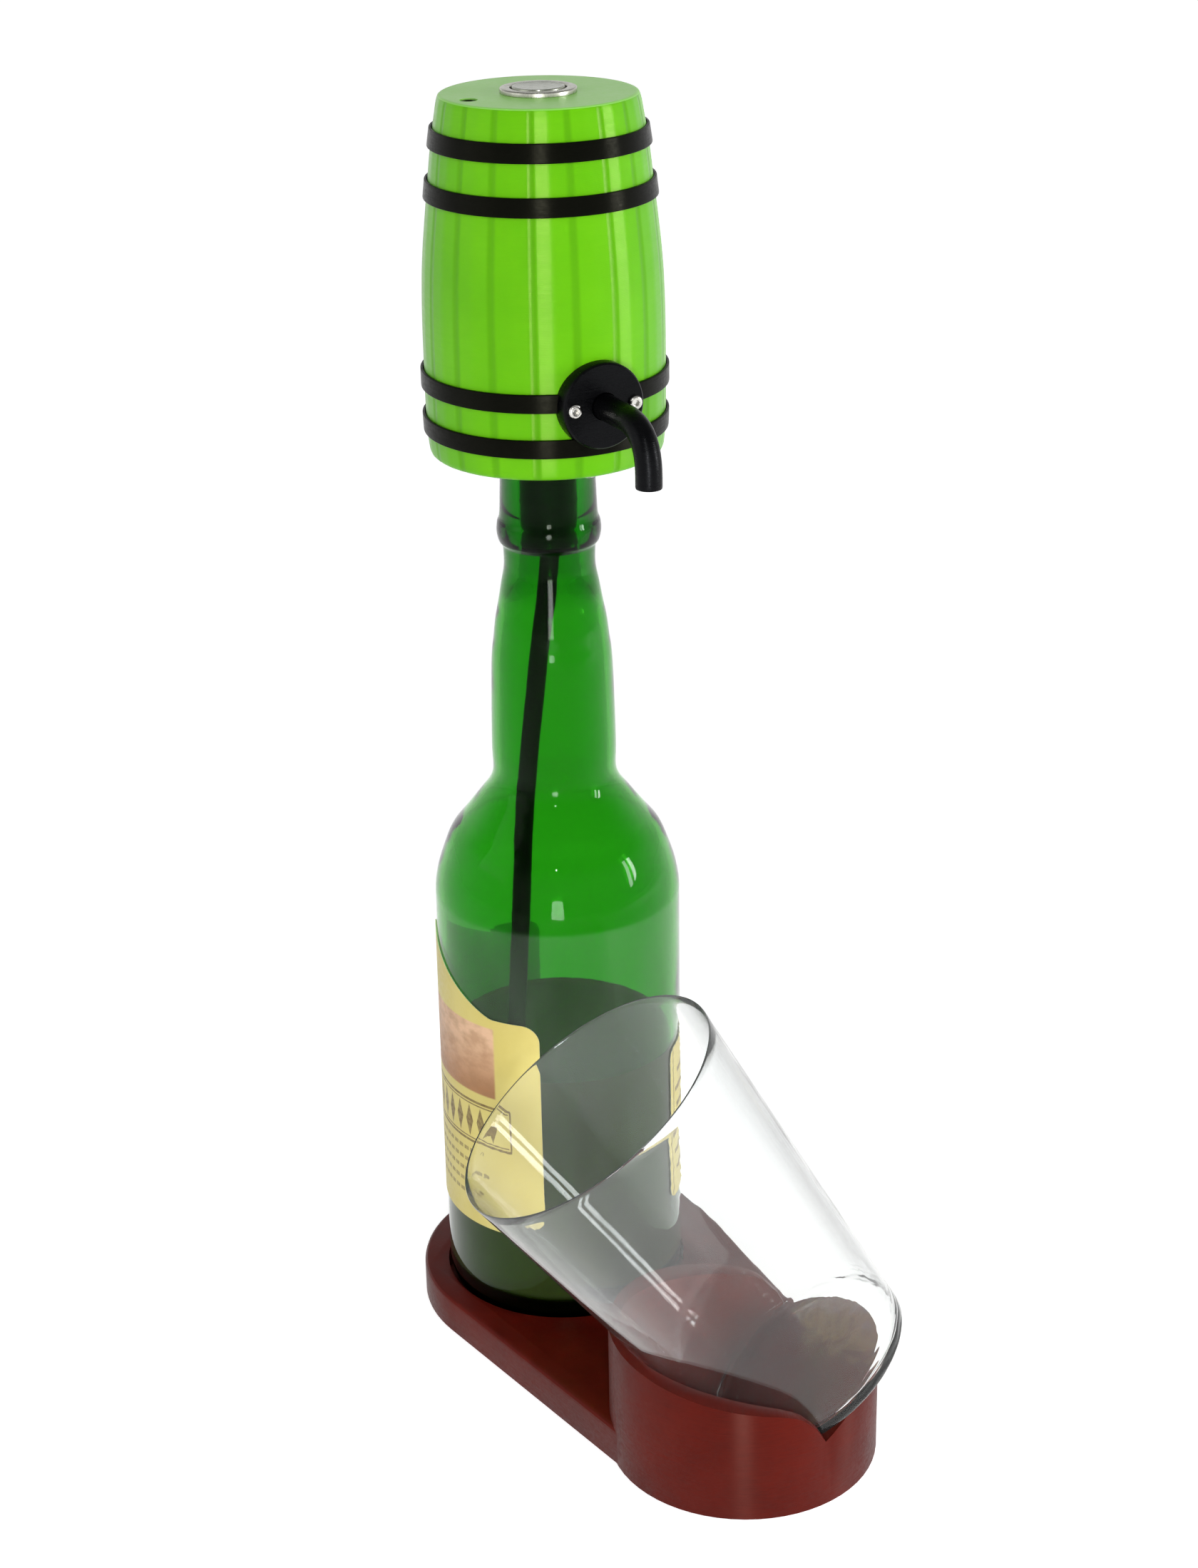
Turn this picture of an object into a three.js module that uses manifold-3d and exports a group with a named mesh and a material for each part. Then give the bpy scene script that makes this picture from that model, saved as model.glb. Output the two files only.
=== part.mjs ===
// Electric cider pourer: a barrel head with a pump on a bottle, a stand and a tumbler.
// Millimetres, Z up. The origin is on the table, under the bottle's axis, and +X points
// from the bottle to the cradle that holds the tumbler.
import * as THREE from "three";
import { mergeVertices } from "three/addons/utils/BufferGeometryUtils.js";
import Module from "manifold-3d";

const wasm = await Module();
wasm.setup();

// General clearances
const overrun = 2;
const fit_gap = 0.3;
const weld_tolerance = 0.0001;

// Stand
const plate_height = 12;
const plate_edge_round = 1.6;
const ring_wall = 7.7;
const ring_setback = 3.9;
const pocket_gap = 0.7;
const pocket_floor = 3.5;
const plate_end_half_width = 41.1;
const plate_end_setback = 1;
const cradle_gap = 13;
const cradle_radius = 42.3;

// Tumbler and how it leans in the cradle
const tumbler_length = 122;
const tumbler_foot_radius = 34.7;
const tumbler_rim_radius = 45.4;
const tumbler_wall = 1.3;
const tumbler_rim_wall = 0.9;
const tumbler_foot_thickness = 4.6;
const tumbler_foot_round = 1.8;
const tumbler_well_round = 3.4;
const lean_degrees = 35;
const lean_heading_degrees = -116;
const foot_setback = 21.9;
const foot_centre_height = 24.7;
const seat_side_gap = 2.2;

// Cradle wall: its top line, as distances towards the lean side and heights
const wall_notch_reach = -19.9;
const wall_notch_height = 22.9;
const wall_brow_reach = 0;
const wall_brow_height = 37.4;
const wall_high_reach = 38;
const wall_high_height = 43.6;

// Bottle
const bottle_radius = 39.9;
const bottle_height = 295.1;
const bottle_wall = 2.5;
const bore_radius = 9.3;
const bottle_sides = 40;
const bottle_heel_height = 18;
const bottle_heel_step = 11.5;
const bottle_floor_height = 8.2;
const bottle_heel_round = 7;
const punt_radius = 24;
const punt_rise = 4.5;

// Labels
const label_gap = 0.3;
const label_thickness = 0.2;
const front_label_heading_degrees = -120.6;
const front_label_half_degrees = 80;
const front_label_low = 41.7;
const front_label_shoulder = 120.6;
const front_label_crown = 141;
const front_label_corner = 6;
const crown_half_share = 0.7;
const crown_ease_share = 1.15;
const back_label_heading_degrees = 59.4;
const back_label_half_degrees = 26.4;
const back_label_low = 42.4;
const back_label_top = 99.5;
const back_label_corner = 4;

// Barrel head
const head_turn_degrees = -5.5;
const barrel_height = 107.9;
const barrel_radius = 36.75;
const barrel_wall = 2.2;
const barrel_roof = 3;
const barrel_foot_share = 0.922;
const barrel_crown_share = 0.792;
const stave_count = 18;
const groove_half_degrees = 1.2;
const groove_depth = 0.45;

// Hoops: how far their middles are from the barrel's top or bottom
const hoop_width = 5.6;
const hoop_thickness = 0.7;
const hoop_sides = 48;
const top_hoop_drop = 12;
const upper_hoop_drop = 27.1;
const lower_hoop_rise = 24.1;
const bottom_hoop_rise = 10.3;

// Bottom cover of the barrel and its screws
const cover_rim = 1.28;
const cover_thickness = 3;
const cover_screw_count = 3;
const cover_screw_inset = 4;
const cover_screw_shank = 1;
const cover_screw_head = 2.4;
const cover_screw_head_height = 1.4;
const cover_screw_length = 9;
const boss_radius = 3.1;
const boss_height = 12;

// Stopper
const sleeve_wall = 2.1;
const sleeve_length = 27.5;
const sleeve_rib_height = 0.2;
const sleeve_rib_width_share = 0.0556;
const sleeve_rib_shares = [0.15, 0.5, 0.85];
const sleeve_collar_radius = 13;
const sleeve_collar_thickness = 1;
const core_lip_step = 0.6;
const core_lip_thickness = 1.5;
const core_flange_gap = 0.4;
const core_flange_thickness = 1.6;
const nipple_radius = 2.6;
const nipple_bore = 1.9;
const nipple_length = 3.4;

// Dip tube: the route is a hand-set list in millimetres
const dip_tube_radius = 3;
const dip_tube_sides = 10;
const dip_tube_steps = 32;
const dip_tube_heading_degrees = -120.6;
const dip_tube_route = [
  [0, 293], [0, 286], [0, 279], [0, 272], [0.2, 265], [1, 256], [2.3, 246], [4.1, 233],
  [5.6, 220], [7.2, 207], [8.6, 194], [9.9, 180], [11, 164], [12, 146], [13.2, 127],
  [14.4, 107], [15.6, 86], [16.8, 64], [17.9, 42], [18.6, 26], [18.9, 17.5],
];

// Spout
const flange_radius = 13;
const flange_proud = 3.85;
const flange_chamfer = 0.7;
const spout_pipe_radius = 3.95;
const spout_bend_radius = 14;
const spout_drop_reach = 68.3;
const spout_drop_length = 17.45;
const spout_root_inset = 1.95;
const spout_nipple_length = 5.4;
const spout_sides = 16;
const spout_screw_inset = 3.15;
const spout_screw_head = 2.1;
const spout_screw_head_height = 1.3;
const spout_screw_shank = 1;
const spout_screw_length = 9.5;
const screw_socket_radius = 0.9;
const screw_socket_depth = 0.8;
const screw_crown_share = 0.78;

// Push button
const bezel_lip = 2.1;
const bezel_proud = 1.5;
const button_barrel_wall = 1;
const button_barrel_depth = 11.5;
const plunger_radius = 8;
const plunger_proud = 0.3;
const plunger_cap_height = 4;
const plunger_stem_radius = 2.6;
const plunger_stem_length = 9.2;
const button_floor_thickness = 2;
const button_nut_wall = 2.6;
const button_nut_height = 2.8;
const switch_block_height = 8;
const switch_recess_depth = 3;
const terminal_width = 2.6;
const terminal_thickness = 0.8;
const terminal_length = 5;
const terminal_spread = 3.8;
const spring_coil_radius = 4.2;
const spring_wire_radius = 0.35;
const spring_turns = 4;

// Charging socket and board
const socket_edge = 1.656;
const socket_heading_degrees = -85;
const socket_nose_radius = 2.4;
const socket_bore = 1.5;
const socket_body_radius = 4.1;
const socket_body_height = 9.5;
const socket_recess = 0.4;
const board_length = 17;
const board_width = 12;
const board_thickness = 1.6;
const board_setback = 2.75;

// Battery
const cell_radius = 9.2;
const cell_length = 65;
const cell_terminal_radius = 2.8;
const cell_terminal_height = 1;
const cell_pump_gap = 3.2;
const cup_wall = 0.9;
const cup_height = 38;
const cup_slot_width = 7;

// Pump and motor
const pump_reach = 6.2;
const pump_radius = 12.9;
const pump_stand_wall = 2;
const pump_stand_height = 10;
const pump_window_width = 11;
const pump_cover_height = 2.2;
const pump_wall = 2.3;
const pump_cavity_height = 10.5;
const pump_outlet_rise = 7.75;
const rotor_hub_radius = 3.4;
const rotor_blade_count = 8;
const rotor_blade_thickness = 1.5;
const rotor_gap = 0.4;
const shaft_radius = 1;
const shaft_running_gap = 0.06;
const shaft_stub = 3;
const seal_radius = 3.1;
const seal_height = 2;
const seal_floor = 1.2;
const seal_headroom = 1;
const motor_radius = 12;
const motor_length = 27;
const motor_cap_radius = 10.6;
const motor_cap_height = 3;
const hose_wall = 0.8;
const hose_sides = 16;
const inlet_barb_length = 3;
const barb_gap = 2.1;

// Wires
const wire_radius = 0.7;
const wire_sides = 6;
const wire_steps = 14;

// Values worked out from the ones above
const degree = Math.PI / 180;
const lean = lean_degrees * degree;
const lean_heading = lean_heading_degrees * degree;
const head_turn = head_turn_degrees * degree;
const pocket_radius = bottle_radius + pocket_gap;
const ring_radius = pocket_radius + ring_wall + ring_setback;
const cradle_offset = ring_radius + cradle_gap + cradle_radius;
const bottle_mouth = pocket_floor + bottle_height;
const head_bottom = bottle_mouth + sleeve_collar_thickness + 2 * fit_gap;
const head_top = head_bottom + barrel_height;
const top_hoop = head_top - top_hoop_drop;
const upper_hoop = head_top - upper_hoop_drop;
const lower_hoop = head_bottom + lower_hoop_rise;
const bottom_hoop = head_bottom + bottom_hoop_rise;
const cover_radius = barrel_foot_share * barrel_radius - cover_rim;
const cover_screw_reach = cover_radius - cover_screw_inset;
const cover_top = head_bottom + cover_thickness;
const stand_top = cover_top + pump_stand_height;
const housing_low = stand_top + pump_cover_height;
const cavity_top = housing_low + pump_cavity_height;
const seal_low = cavity_top + fit_gap + seal_floor;
const housing_top = seal_low + seal_height + seal_headroom;
const pump_cavity_radius = pump_radius - pump_wall;
const rotor_radius = pump_cavity_radius - rotor_gap;
const motor_top = housing_top + motor_length;
const rotor_low = housing_low + rotor_gap;
const rotor_top = cavity_top - rotor_gap;
const spout_height = housing_low + pump_outlet_rise;
const spout_mouth_height = spout_height - spout_drop_length;
const flange_face_reach = barrel_radius + flange_proud;
const spout_root_reach = barrel_radius - barrel_wall - spout_root_inset;
const spout_nipple_reach = spout_root_reach - spout_nipple_length;
const spout_screw_spread = flange_radius - spout_screw_inset;
const outlet_barb_length = spout_nipple_reach - barb_gap - pump_reach - pump_radius;
const hose_bore = nipple_radius + fit_gap;
const hose_radius = hose_bore + hose_wall;
const button_barrel_radius = plunger_radius + fit_gap + button_barrel_wall;
const bezel_radius = button_barrel_radius + bezel_lip;
const button_nut_radius = button_barrel_radius + fit_gap + button_nut_wall;
const bezel_top = head_top + bezel_proud;
const plunger_top = bezel_top + plunger_proud;
const button_floor_low = head_top - button_barrel_depth;
const button_floor_top = button_floor_low + button_floor_thickness;
const socket_shoulder = head_top - barrel_roof;
const socket_low = socket_shoulder - socket_body_height;
const socket_hole_radius = socket_nose_radius + fit_gap;
const socket_reach = barrel_crown_share * barrel_radius - socket_edge - socket_body_radius;
const board_low = socket_low - board_thickness;
const board_reach = socket_reach - board_setback;
const cell_low = cover_top + cup_wall;
const cell_top = cell_low + cell_length;
const cup_radius = cell_radius + fit_gap + cup_wall;
const cell_reach = pump_reach - pump_radius - cell_pump_gap - cup_radius;
const sleeve_radius = bore_radius - fit_gap;
const sleeve_bore = sleeve_radius - sleeve_wall;
const core_radius = sleeve_bore - fit_gap;
const core_bore = dip_tube_radius + fit_gap;
const core_lip_radius = sleeve_radius - core_lip_step;
const core_flange_radius = pump_radius + cell_pump_gap - pump_reach - core_flange_gap;
const sleeve_top = head_bottom - fit_gap;
const sleeve_low = sleeve_top - sleeve_collar_thickness - sleeve_length;
const wire_end_gap = fit_gap + wire_radius / 2;
const motor_tag_height = motor_top + motor_cap_height + wire_end_gap;
const terminal_tip = button_floor_low - switch_block_height - terminal_length - wire_end_gap;

// Colours from the photograph
const stand_material = material(0x7a2620, 0.42, 0);
const bottle_material = material(0x1f8a2a, 0.08, 0);
const label_material = material(0xe6d77d, 0.6, 0);
const tumbler_material = material(0xdfe6e6, 0.04, 0);
const barrel_material = material(0x74c91f, 0.35, 0);
const black_material = material(0x17181a, 0.45, 0);
const rubber_material = material(0x1b1b1b, 0.85, 0);
const steel_material = material(0xb9b7b3, 0.28, 1);
const bright_steel_material = material(0xcfcfcf, 0.2, 1);
const spring_material = material(0xa8a8a8, 0.3, 1);
const brass_material = material(0xb08d3c, 0.35, 1);
const board_material = material(0x14602f, 0.5, 0);
const cell_material = material(0x2a59a8, 0.4, 0);
const pump_material = material(0xe8e6df, 0.45, 0);
const motor_material = material(0xa9adb0, 0.3, 1);
const hose_material = material(0xdadfd8, 0.3, 0);
const red_wire_material = material(0xb2231c, 0.5, 0);
const black_wire_material = material(0x202020, 0.5, 0);

function material(color, roughness, metalness) {
  return new THREE.MeshStandardMaterial({ color, roughness, metalness });
}

// Shape helpers

function turned(outline, sides) {
  const points = outline.map(([radius, height]) => new THREE.Vector2(radius, height));
  return new THREE.LatheGeometry(points, sides).rotateX(Math.PI / 2);
}

function closed_ring(outline, sides) {
  return turned([...outline, outline[0]], sides);
}

function cylinder(radius, low, high, sides) {
  return turned([[0, low], [radius, low], [radius, high], [0, high]], sides);
}

function pipe(outer, inner, low, high, sides) {
  return closed_ring([[inner, low], [outer, low], [outer, high], [inner, high]], sides);
}

function box(low, high) {
  const size = high.map((value, axis) => value - low[axis]);
  const middle = high.map((value, axis) => (value + low[axis]) / 2);
  return new THREE.BoxGeometry(...size).translate(...middle);
}

function tube_between(points, radius, sides, steps) {
  const curve = new THREE.CatmullRomCurve3(points, false, "centripetal");
  return tube_along(curve, radius, sides, steps);
}

function tube_along(curve, radius, sides, steps) {
  const shape = new THREE.Shape();
  for (let side = 0; side < sides; side += 1) {
    const angle = (side / sides) * 2 * Math.PI;
    const [x, y] = [radius * Math.cos(angle), radius * Math.sin(angle)];
    if (side === 0) shape.moveTo(x, y);
    else shape.lineTo(x, y);
  }
  shape.closePath();
  return new THREE.ExtrudeGeometry(shape, { steps, bevelEnabled: false, extrudePath: curve });
}

function welded(geometry) {
  const bare = geometry.clone();
  for (const name of ["normal", "uv"]) bare.deleteAttribute(name);
  const merged = mergeVertices(bare, weld_tolerance);
  const corners = merged.index.array;
  const kept = [];
  for (let at = 0; at < corners.length; at += 3) {
    const [a, b, c] = corners.slice(at, at + 3);
    if (a !== b && b !== c && c !== a) kept.push(a, b, c);
  }
  if (signed_volume(merged.attributes.position, kept) < 0) kept.reverse();
  merged.setIndex(kept);
  return merged;
}

function signed_volume(position, corners) {
  const [a, b, c] = [new THREE.Vector3(), new THREE.Vector3(), new THREE.Vector3()];
  let volume = 0;
  for (let at = 0; at < corners.length; at += 3) {
    a.fromBufferAttribute(position, corners[at]);
    b.fromBufferAttribute(position, corners[at + 1]);
    c.fromBufferAttribute(position, corners[at + 2]);
    volume += a.dot(b.cross(c)) / 6;
  }
  return volume;
}

function solid(geometry) {
  const merged = welded(geometry);
  const mesh = new wasm.Mesh({
    numProp: 3,
    vertProperties: new Float32Array(merged.attributes.position.array),
    triVerts: new Uint32Array(merged.index.array),
  });
  return new wasm.Manifold(mesh);
}

function joined(...geometries) {
  return geometries.map(solid).reduce((whole, piece) => whole.add(piece));
}

function cut(whole, ...geometries) {
  return geometries.map(solid).reduce((left, piece) => left.subtract(piece), whole);
}

function surface(whole) {
  const mesh = whole.getMesh();
  const geometry = new THREE.BufferGeometry();
  geometry.setAttribute("position", new THREE.BufferAttribute(mesh.vertProperties, 3));
  geometry.setIndex(new THREE.BufferAttribute(mesh.triVerts, 1));
  return geometry;
}

function node(name, shape, its_material) {
  const geometry = shape.isBufferGeometry ? welded(shape) : surface(shape);
  geometry.computeVertexNormals();
  const mesh = new THREE.Mesh(geometry, its_material);
  mesh.name = name;
  return mesh;
}

function heading_point(reach, angle, height) {
  return new THREE.Vector3(reach * Math.cos(angle), reach * Math.sin(angle), height);
}

// Stand

// Two arcs and their tangents, both set back behind the line from the bottle to the cradle
function tangent_outline() {
  const aside = plate_end_setback - ring_setback;
  const heading = Math.atan2(aside, cradle_offset);
  const spread = Math.acos((ring_radius - plate_end_half_width) / Math.hypot(aside, cradle_offset));
  const [ring, end] = [ring_radius - plate_edge_round, plate_end_half_width - plate_edge_round];
  const shape = new THREE.Shape();
  shape.absarc(0, ring_setback, ring, heading + spread, heading + 2 * Math.PI - spread, false);
  shape.absarc(cradle_offset, plate_end_setback, end, heading - spread, heading + spread, false);
  shape.closePath();
  return shape;
}

function plate() {
  const settings = {
    depth: plate_height,
    bevelEnabled: true,
    bevelThickness: plate_edge_round,
    bevelSize: plate_edge_round,
    bevelSegments: 3,
    curveSegments: 28,
  };
  return new THREE.ExtrudeGeometry(tangent_outline(), settings).translate(0, 0, -plate_edge_round);
}

// The slanted seat runs at right angles to the leaning tumbler
function seat_height(reach) {
  return foot_centre_height - fit_gap / Math.cos(lean) - (reach + foot_setback) * Math.tan(lean);
}

function cradle_sky() {
  const far = cradle_radius + overrun;
  const high = wall_high_height + tumbler_length;
  const brow = wall_brow_height - wall_notch_height;
  const across = wall_brow_reach - wall_notch_reach;
  const slope = (wall_high_height - wall_brow_height) / (wall_high_reach - wall_brow_reach);
  const shape = new THREE.Shape();
  shape.moveTo(-far, seat_height(-far));
  shape.lineTo(wall_notch_reach, seat_height(wall_notch_reach));
  for (const [across_share, rise_share] of brow_shares) {
    shape.lineTo(wall_notch_reach + across_share * across, wall_notch_height + rise_share * brow);
  }
  shape.lineTo(far, wall_brow_height + (far - wall_brow_reach) * slope);
  shape.lineTo(far, high);
  shape.lineTo(-far, high);
  shape.closePath();
  const settings = { depth: 2 * far, bevelEnabled: false };
  return new THREE.ExtrudeGeometry(shape, settings)
    .rotateX(Math.PI / 2)
    .translate(0, far, 0)
    .rotateZ(lean_heading)
    .translate(cradle_offset, 0, 0);
}

const brow_shares = [[0.09, 0.24], [0.16, 0.41], [0.26, 0.56], [0.4, 0.75], [0.54, 0.85],
  [0.76, 0.94], [1, 1]];

// Moves a shape from upright at the origin to the tumbler's leaning place
function leaned(geometry) {
  const heading = new THREE.Matrix4().makeRotationZ(lean_heading);
  const tilt = new THREE.Matrix4().makeRotationY(lean);
  const foot_x = cradle_offset - foot_setback * Math.cos(lean_heading);
  const foot_y = -foot_setback * Math.sin(lean_heading);
  const place = new THREE.Matrix4().makeTranslation(foot_x, foot_y, foot_centre_height);
  return geometry.applyMatrix4(place.multiply(heading).multiply(tilt));
}

function tumbler_side(height) {
  return tumbler_foot_radius + ((tumbler_rim_radius - tumbler_foot_radius) * height) / tumbler_length;
}

function seat_well() {
  const depth = tumbler_length / 2;
  const low = tumbler_side(0) + seat_side_gap;
  const high = tumbler_side(depth) + seat_side_gap;
  const outline = [[0, -fit_gap], [low, -fit_gap], [high, depth], [0, depth]];
  return leaned(turned(outline, 64).translate(fit_gap - seat_side_gap, 0, 0));
}

function stand() {
  const below = box([-2 * ring_radius, -2 * ring_radius, -plate_height],
    [cradle_offset + 2 * cradle_radius, 2 * ring_radius, 0]);
  const drum = cylinder(cradle_radius, 0, wall_high_height + overrun, 64);
  const cradle = cut(solid(drum.translate(cradle_offset, 0, 0)), cradle_sky());
  const pocket = cylinder(pocket_radius, pocket_floor, plate_height + overrun, 64);
  return cut(solid(plate()).add(cradle), below, pocket, seat_well());
}

// Bottle: outline as shares of its height and radius

const bottle_outline_shares = [
  [0, 0.75], [0, 0.8], [0.004, 0.878], [0.013, 0.945], [0.029, 0.985], [0.05, 1],
  [0.508, 1], [0.53, 0.975], [0.551, 0.927], [0.574, 0.857], [0.593, 0.747], [0.614, 0.629],
  [0.627, 0.555], [0.637, 0.515], [0.65, 0.495], [0.677, 0.5], [0.737, 0.491],
  [0.778, 0.479], [0.8, 0.459], [0.82, 0.441], [0.84, 0.412], [0.859, 0.388], [0.879, 0.361],
  [0.904, 0.368], [0.908, 0.395], [0.918, 0.41], [0.928, 0.403],
  [0.936, 0.385], [0.99, 0.367], [1, 0.345],
];

const bottle_inside_shares = [
  [0.998, 1.06], [0.985, 1], [0.89, 1], [0.865, 1.12],
];

function bottle() {
  const outside = bottle_outline_shares.map(([rise, reach]) =>
    [reach * bottle_radius, pocket_floor + rise * bottle_height]);
  const neck = bottle_inside_shares.map(([rise, reach]) =>
    [reach * bore_radius, pocket_floor + rise * bottle_height]);
  const neck_low = neck[neck.length - 1][1] - overrun;
  const body = outside.filter(([reach, height], at) => at > 5 && at % 2 === 0 && height < neck_low)
    .map(([reach, height]) => [reach - bottle_wall, height])
    .reverse();
  const inner_reach = bottle_radius - bottle_wall;
  const heel = [[inner_reach, bottle_heel_height],
    [inner_reach - bottle_heel_round / 4, bottle_heel_step],
    [inner_reach - bottle_heel_round, bottle_floor_height]];
  const floor = [[punt_radius, bottle_floor_height], [0, bottle_floor_height + punt_rise]];
  const punt = [[0, pocket_floor + punt_rise], [punt_radius, pocket_floor]];
  return turned([...punt, ...outside.slice(1), ...neck, ...body, ...heel, ...floor], bottle_sides);
}

// Labels: a box bent round the bottle, with its lower and upper edges as given

function bent_label(heading_degrees, half_degrees, corner, edges) {
  const columns = label_column_shares.length - 1;
  const inner = bottle_radius + label_gap;
  const geometry = new THREE.BoxGeometry(1, 1, 1, columns, 1, 1);
  const position = geometry.attributes.position;
  for (let at = 0; at < position.count; at += 1) {
    const column = Math.round((position.getX(at) + 1 / 2) * columns);
    const share = label_column_shares[column];
    const [low, high] = edges(share, corner_drop(share, half_degrees * degree * inner, corner));
    const height = position.getY(at) < 0 ? low : high;
    const reach = inner + (position.getZ(at) < 0 ? 0 : label_thickness);
    const angle = (heading_degrees + share * half_degrees) * degree;
    position.setXYZ(at, reach * Math.cos(angle), reach * Math.sin(angle), height);
  }
  return geometry;
}

// How far a rounded corner takes the edge in, at a place across the label
function corner_drop(share, half_width, corner) {
  const into_corner = Math.abs(share) * half_width - (half_width - corner);
  if (into_corner <= 0) return 0;
  return corner - Math.sqrt(Math.max(corner * corner - into_corner * into_corner, 0));
}

const label_column_shares = [-1, -0.994, -0.98, -0.955, -0.92, -0.88, -0.83, -0.76, -0.69, -0.62,
  -0.54, -0.46, -0.38, -0.3, -0.2, -0.1, 0, 0.1, 0.2, 0.3, 0.38, 0.46, 0.54, 0.62, 0.69, 0.76, 0.83,
  0.88, 0.92, 0.955, 0.98, 0.994, 1];

// The front label's top is level at its sides and rises to a crown
function front_label() {
  const rise = front_label_crown - front_label_shoulder;
  return bent_label(front_label_heading_degrees, front_label_half_degrees, front_label_corner,
    (share, drop) => {
      const in_crown = Math.max(1 - Math.abs(share) / crown_half_share, 0);
      const crown = rise * in_crown ** crown_ease_share;
      return [front_label_low + drop, front_label_shoulder + crown - drop];
    });
}

function back_label() {
  return bent_label(back_label_heading_degrees, back_label_half_degrees, back_label_corner,
    (share, drop) => [back_label_low + drop, back_label_top - drop]);
}

// Tumbler

function tumbler() {
  const rim = tumbler_length;
  const well = tumbler_foot_thickness;
  const side = tumbler_side(well + tumbler_well_round) - tumbler_wall;
  const outline = [
    [0, 0],
    [tumbler_foot_radius - tumbler_foot_round, 0],
    [tumbler_foot_radius - tumbler_foot_round / 4, tumbler_foot_round / 3],
    [tumbler_side(tumbler_foot_round), tumbler_foot_round],
    [tumbler_side(rim / 3), rim / 3],
    [tumbler_side(rim * (2 / 3)), rim * (2 / 3)],
    [tumbler_side(rim - tumbler_rim_wall / 2), rim - tumbler_rim_wall / 2],
    [tumbler_rim_radius - tumbler_rim_wall / 2, rim],
    [tumbler_rim_radius - tumbler_rim_wall, rim - tumbler_rim_wall / 2],
    [tumbler_side(rim / 2) - tumbler_wall, rim / 2],
    [side, well + tumbler_well_round],
    [side - tumbler_well_round / 3, well + tumbler_well_round / 3],
    [side - tumbler_well_round, well],
    [0, well],
  ];
  return leaned(turned(outline, 48));
}

// Barrel head: outline as shares of its height and radius

const barrel_outline_shares = [
  [0, barrel_foot_share], [0.004, 0.954], [0.013, 0.973], [0.031, 0.982], [0.075, 0.992], [0.14, 0.998],
  [0.34, 1], [0.42, 0.997], [0.5, 0.989], [0.545, 0.981], [0.595, 0.969], [0.64, 0.955],
  [0.69, 0.939], [0.76, 0.915], [0.837, 0.89], [0.9, 0.864], [0.948, 0.84], [0.984, 0.822],
  [0.996, 0.808], [1, barrel_crown_share],
];

function barrel_reach(height) {
  const share = (height - head_bottom) / barrel_height;
  const above = Math.max(barrel_outline_shares.findIndex(([rise]) => rise >= share), 1);
  const [low_rise, low_reach] = barrel_outline_shares[above - 1];
  const [high_rise, high_reach] = barrel_outline_shares[above];
  const mix = (share - low_rise) / (high_rise - low_rise);
  return barrel_radius * (low_reach + mix * (high_reach - low_reach));
}

function barrel_points(inset) {
  return barrel_outline_shares.map(([rise, reach]) =>
    [reach * barrel_radius - inset, head_bottom + rise * barrel_height]);
}

// Four columns a stave: the groove's line, its two edges and the stave's middle
function grooved(geometry) {
  const columns = 4 * stave_count;
  const step = (2 * Math.PI) / columns;
  const half_groove = groove_half_degrees * degree;
  const shifts = [0, half_groove - step, 0, step - half_groove];
  const position = geometry.attributes.position;
  for (let at = 0; at < position.count; at += 1) {
    const reach = Math.hypot(position.getX(at), position.getY(at));
    if (reach < barrel_radius / 2) continue;
    const column = Math.round(Math.atan2(position.getY(at), position.getX(at)) / step);
    const place = (((column - 2) % 4) + 4) % 4;
    const angle = column * step + shifts[place];
    const depth = place === 0 ? groove_depth : 0;
    position.setXY(at, (reach - depth) * Math.cos(angle), (reach - depth) * Math.sin(angle));
  }
  return geometry;
}

function cover_bosses(radius, low, high) {
  return Array.from({ length: cover_screw_count }, (unused, which) => {
    const angle = (which / cover_screw_count) * 2 * Math.PI;
    const place = heading_point(cover_screw_reach, angle, 0);
    return cylinder(radius, low, high, 12).translate(place.x, place.y, 0);
  });
}

function across_x(radius, near, far, sides) {
  return cylinder(radius, near, far, sides).rotateY(Math.PI / 2);
}

function spout_screw_places() {
  return [-spout_screw_spread, spout_screw_spread];
}

function barrel_shell() {
  const outside = barrel_points(0);
  const skin = grooved(turned([[0, head_bottom], ...outside, [0, head_top]], 4 * stave_count));
  const ceiling = head_top - barrel_roof;
  const inside = barrel_points(barrel_wall).filter(([reach, height], at) =>
    at % 2 === 0 && height > cover_top + fit_gap && height < ceiling);
  const seat = cover_radius + fit_gap;
  const hollow = turned([
    [0, head_bottom - overrun], [seat, head_bottom - overrun], [seat, cover_top],
    ...inside, [barrel_reach(ceiling) - barrel_wall, ceiling], [0, ceiling]], 32);
  const bosses = boss_roots().map(solid);
  const room = cut(solid(skin), hollow);
  const whole = bosses.reduce((shell, boss) => shell.add(boss), room);
  const socket = socket_place();
  const through = [ceiling - overrun, head_top + overrun];
  return cut(whole,
    ...cover_bosses(cover_screw_shank + fit_gap, cover_top - overrun, cover_top + cover_screw_length),
    cylinder(button_barrel_radius + fit_gap, ...through, 32),
    cylinder(socket_hole_radius, ...through, 16).translate(socket.x, socket.y, 0),
    ...spout_bores());
}

// The holes of the spout's pipe and of its screws, out through the barrel's side
function spout_bores() {
  const [near, far] = [barrel_radius / 2, 2 * barrel_radius];
  const pipe_bore = across_x(spout_pipe_radius + fit_gap, near, far, 20);
  const screw_bores = spout_screw_places().map((y) =>
    across_x(spout_screw_shank + fit_gap, near, far, 12).translate(0, y, 0));
  return [pipe_bore, ...screw_bores].map((bore) => bore.translate(0, 0, spout_height));
}

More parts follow.
